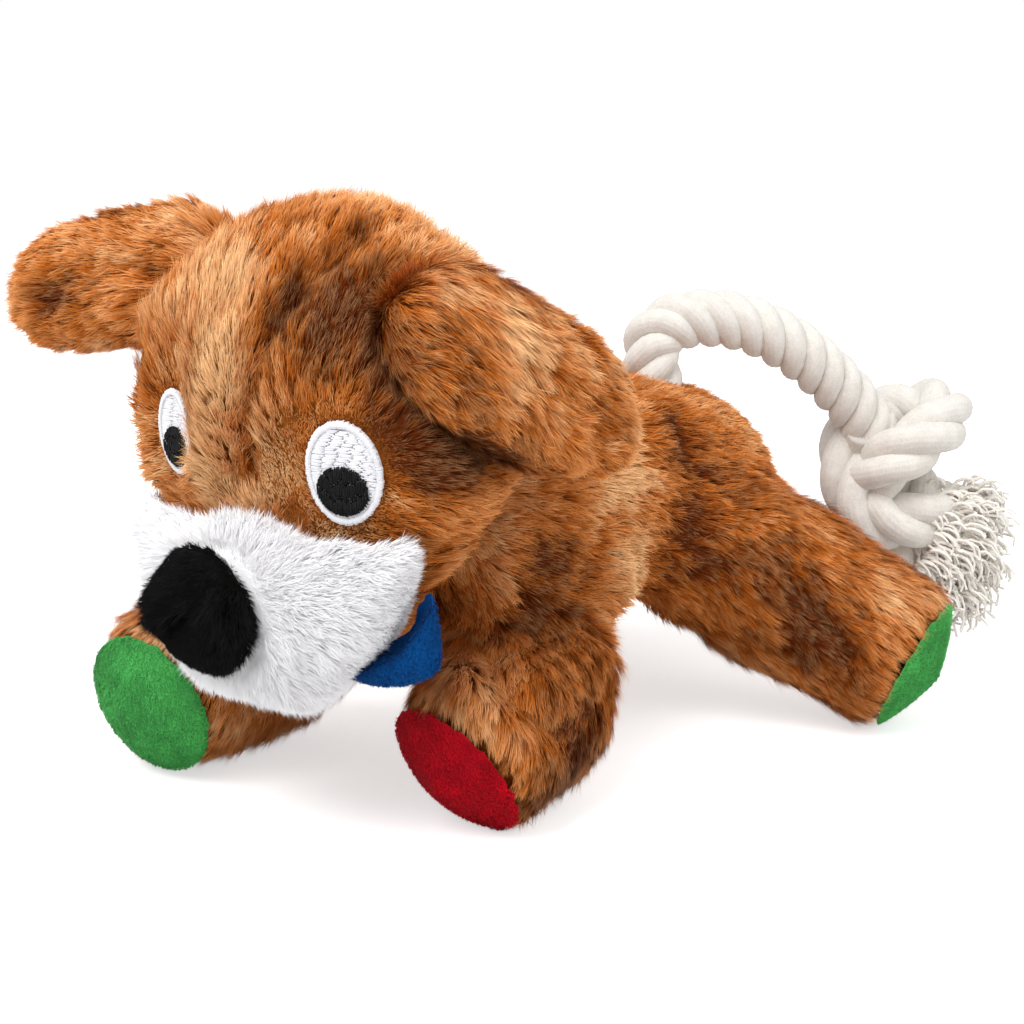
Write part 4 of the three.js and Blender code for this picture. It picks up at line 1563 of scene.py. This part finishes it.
def embroidery(part, reach, thread, rng):
    """Stitches in the plane of an eye: (across, up, rise) points, and shares of thickness."""
    lines, thick = [], []

    def stitch(first, last, rise=0.0):
        line = []
        for share in (0.0, 0.12, 0.5, 0.88, 1.0):
            spot = np.array(first) * (1 - share) + np.array(last) * share
            line.append((spot[0], spot[1], rise + (-0.5 if share in (0.0, 1.0) else 0.30)))
        lines.append(line)
        thick.append((0.5, 0.95, 1.0, 0.95, 0.5))

    pitch = thread * STITCH_PITCH
    if part == "eye_white":
        turns = int(2 * math.pi * max(reach) / pitch)
        for k in range(turns):
            angle = 2 * math.pi * (k + 0.3 * rng.random()) / turns
            edge = np.array((math.cos(angle) * reach[0], math.sin(angle) * reach[1]))
            stitch(edge * (STITCH_RING + 0.02 * rng.random()), edge * (1.0 + 0.035 * rng.random()), 0.25)
        rows = int(2 * reach[1] * STITCH_RING / pitch)
        for k in range(rows):
            b = -reach[1] * STITCH_RING + (k + 0.5) * pitch
            half = reach[0] * 0.89 * math.sqrt(max(0.0, 1 - (b / (reach[1] * 0.89)) ** 2))
            a = -half
            while a < half - STITCH_LEAST:
                after = min(half, a + 3.2 + 1.4 * rng.random())
                stitch((a, b + 0.1 * rng.standard_normal()), (after, b + 0.1 * rng.standard_normal()))
                a = after + STITCH_GAP
    else:
        columns = int(2 * reach[0] / pitch)
        for k in range(columns):
            a = -reach[0] + (k + 0.5) * pitch
            half = reach[1] * math.sqrt(max(0.0, 1 - (a / reach[0]) ** 2))
            b = -half * (1 + 0.05 * rng.random())
            while b < half - STITCH_LEAST:
                after = min(half, b + 3.4 + 1.8 * rng.random())
                stitch((a + 0.08 * rng.standard_normal(), b), (a + 0.08 * rng.standard_normal(), after), 0.5)
                b = after + STITCH_GAP
    return lines, thick


OPERATORS = (
    PLUSHDOG_OT_stage,
    PLUSHDOG_OT_rope,
    PLUSHDOG_OT_body,
    PLUSHDOG_OT_head,
    PLUSHDOG_OT_ears,
    PLUSHDOG_OT_muzzle,
    PLUSHDOG_OT_velour,
    PLUSHDOG_OT_eyes,
)


class PLUSHDOG_PT_panel(bpy.types.Panel):
    """Lists what makes the plush dog"""

    bl_idname = "PLUSHDOG_PT_panel"
    bl_label = "Plush Dog"
    bl_space_type = "VIEW_3D"
    bl_region_type = "UI"
    bl_category = "Plush Dog"

    def draw(self, context):
        for name in SETTINGS:
            box = self.layout.box()
            given = getattr(context.scene, name)
            for key in given.__annotations__:
                box.prop(given, key)
        for operator in OPERATORS:
            self.layout.operator(operator.bl_idname)


SETTINGS = {
    "plush_dog_pile": PlushDogPile,
    "plush_dog_rope": PlushDogRope,
    "plush_dog_cloth": PlushDogCloth,
    "plush_dog_stage": PlushDogStage,
}
CLASSES = (*SETTINGS.values(), *OPERATORS, PLUSHDOG_PT_panel)


def register():
    for made in CLASSES:
        bpy.utils.register_class(made)
    for name, kind in SETTINGS.items():
        setattr(bpy.types.Scene, name, bpy.props.PointerProperty(type=kind))


def unregister():
    for name in SETTINGS:
        delattr(bpy.types.Scene, name)
    for made in reversed(CLASSES):
        bpy.utils.unregister_class(made)


def main():
    register()
    for operator in OPERATORS:
        family, name = operator.bl_idname.split(".")
        getattr(getattr(bpy.ops, family), name)()
    bpy.context.view_layer.update()


if __name__ == "__main__":
    main()
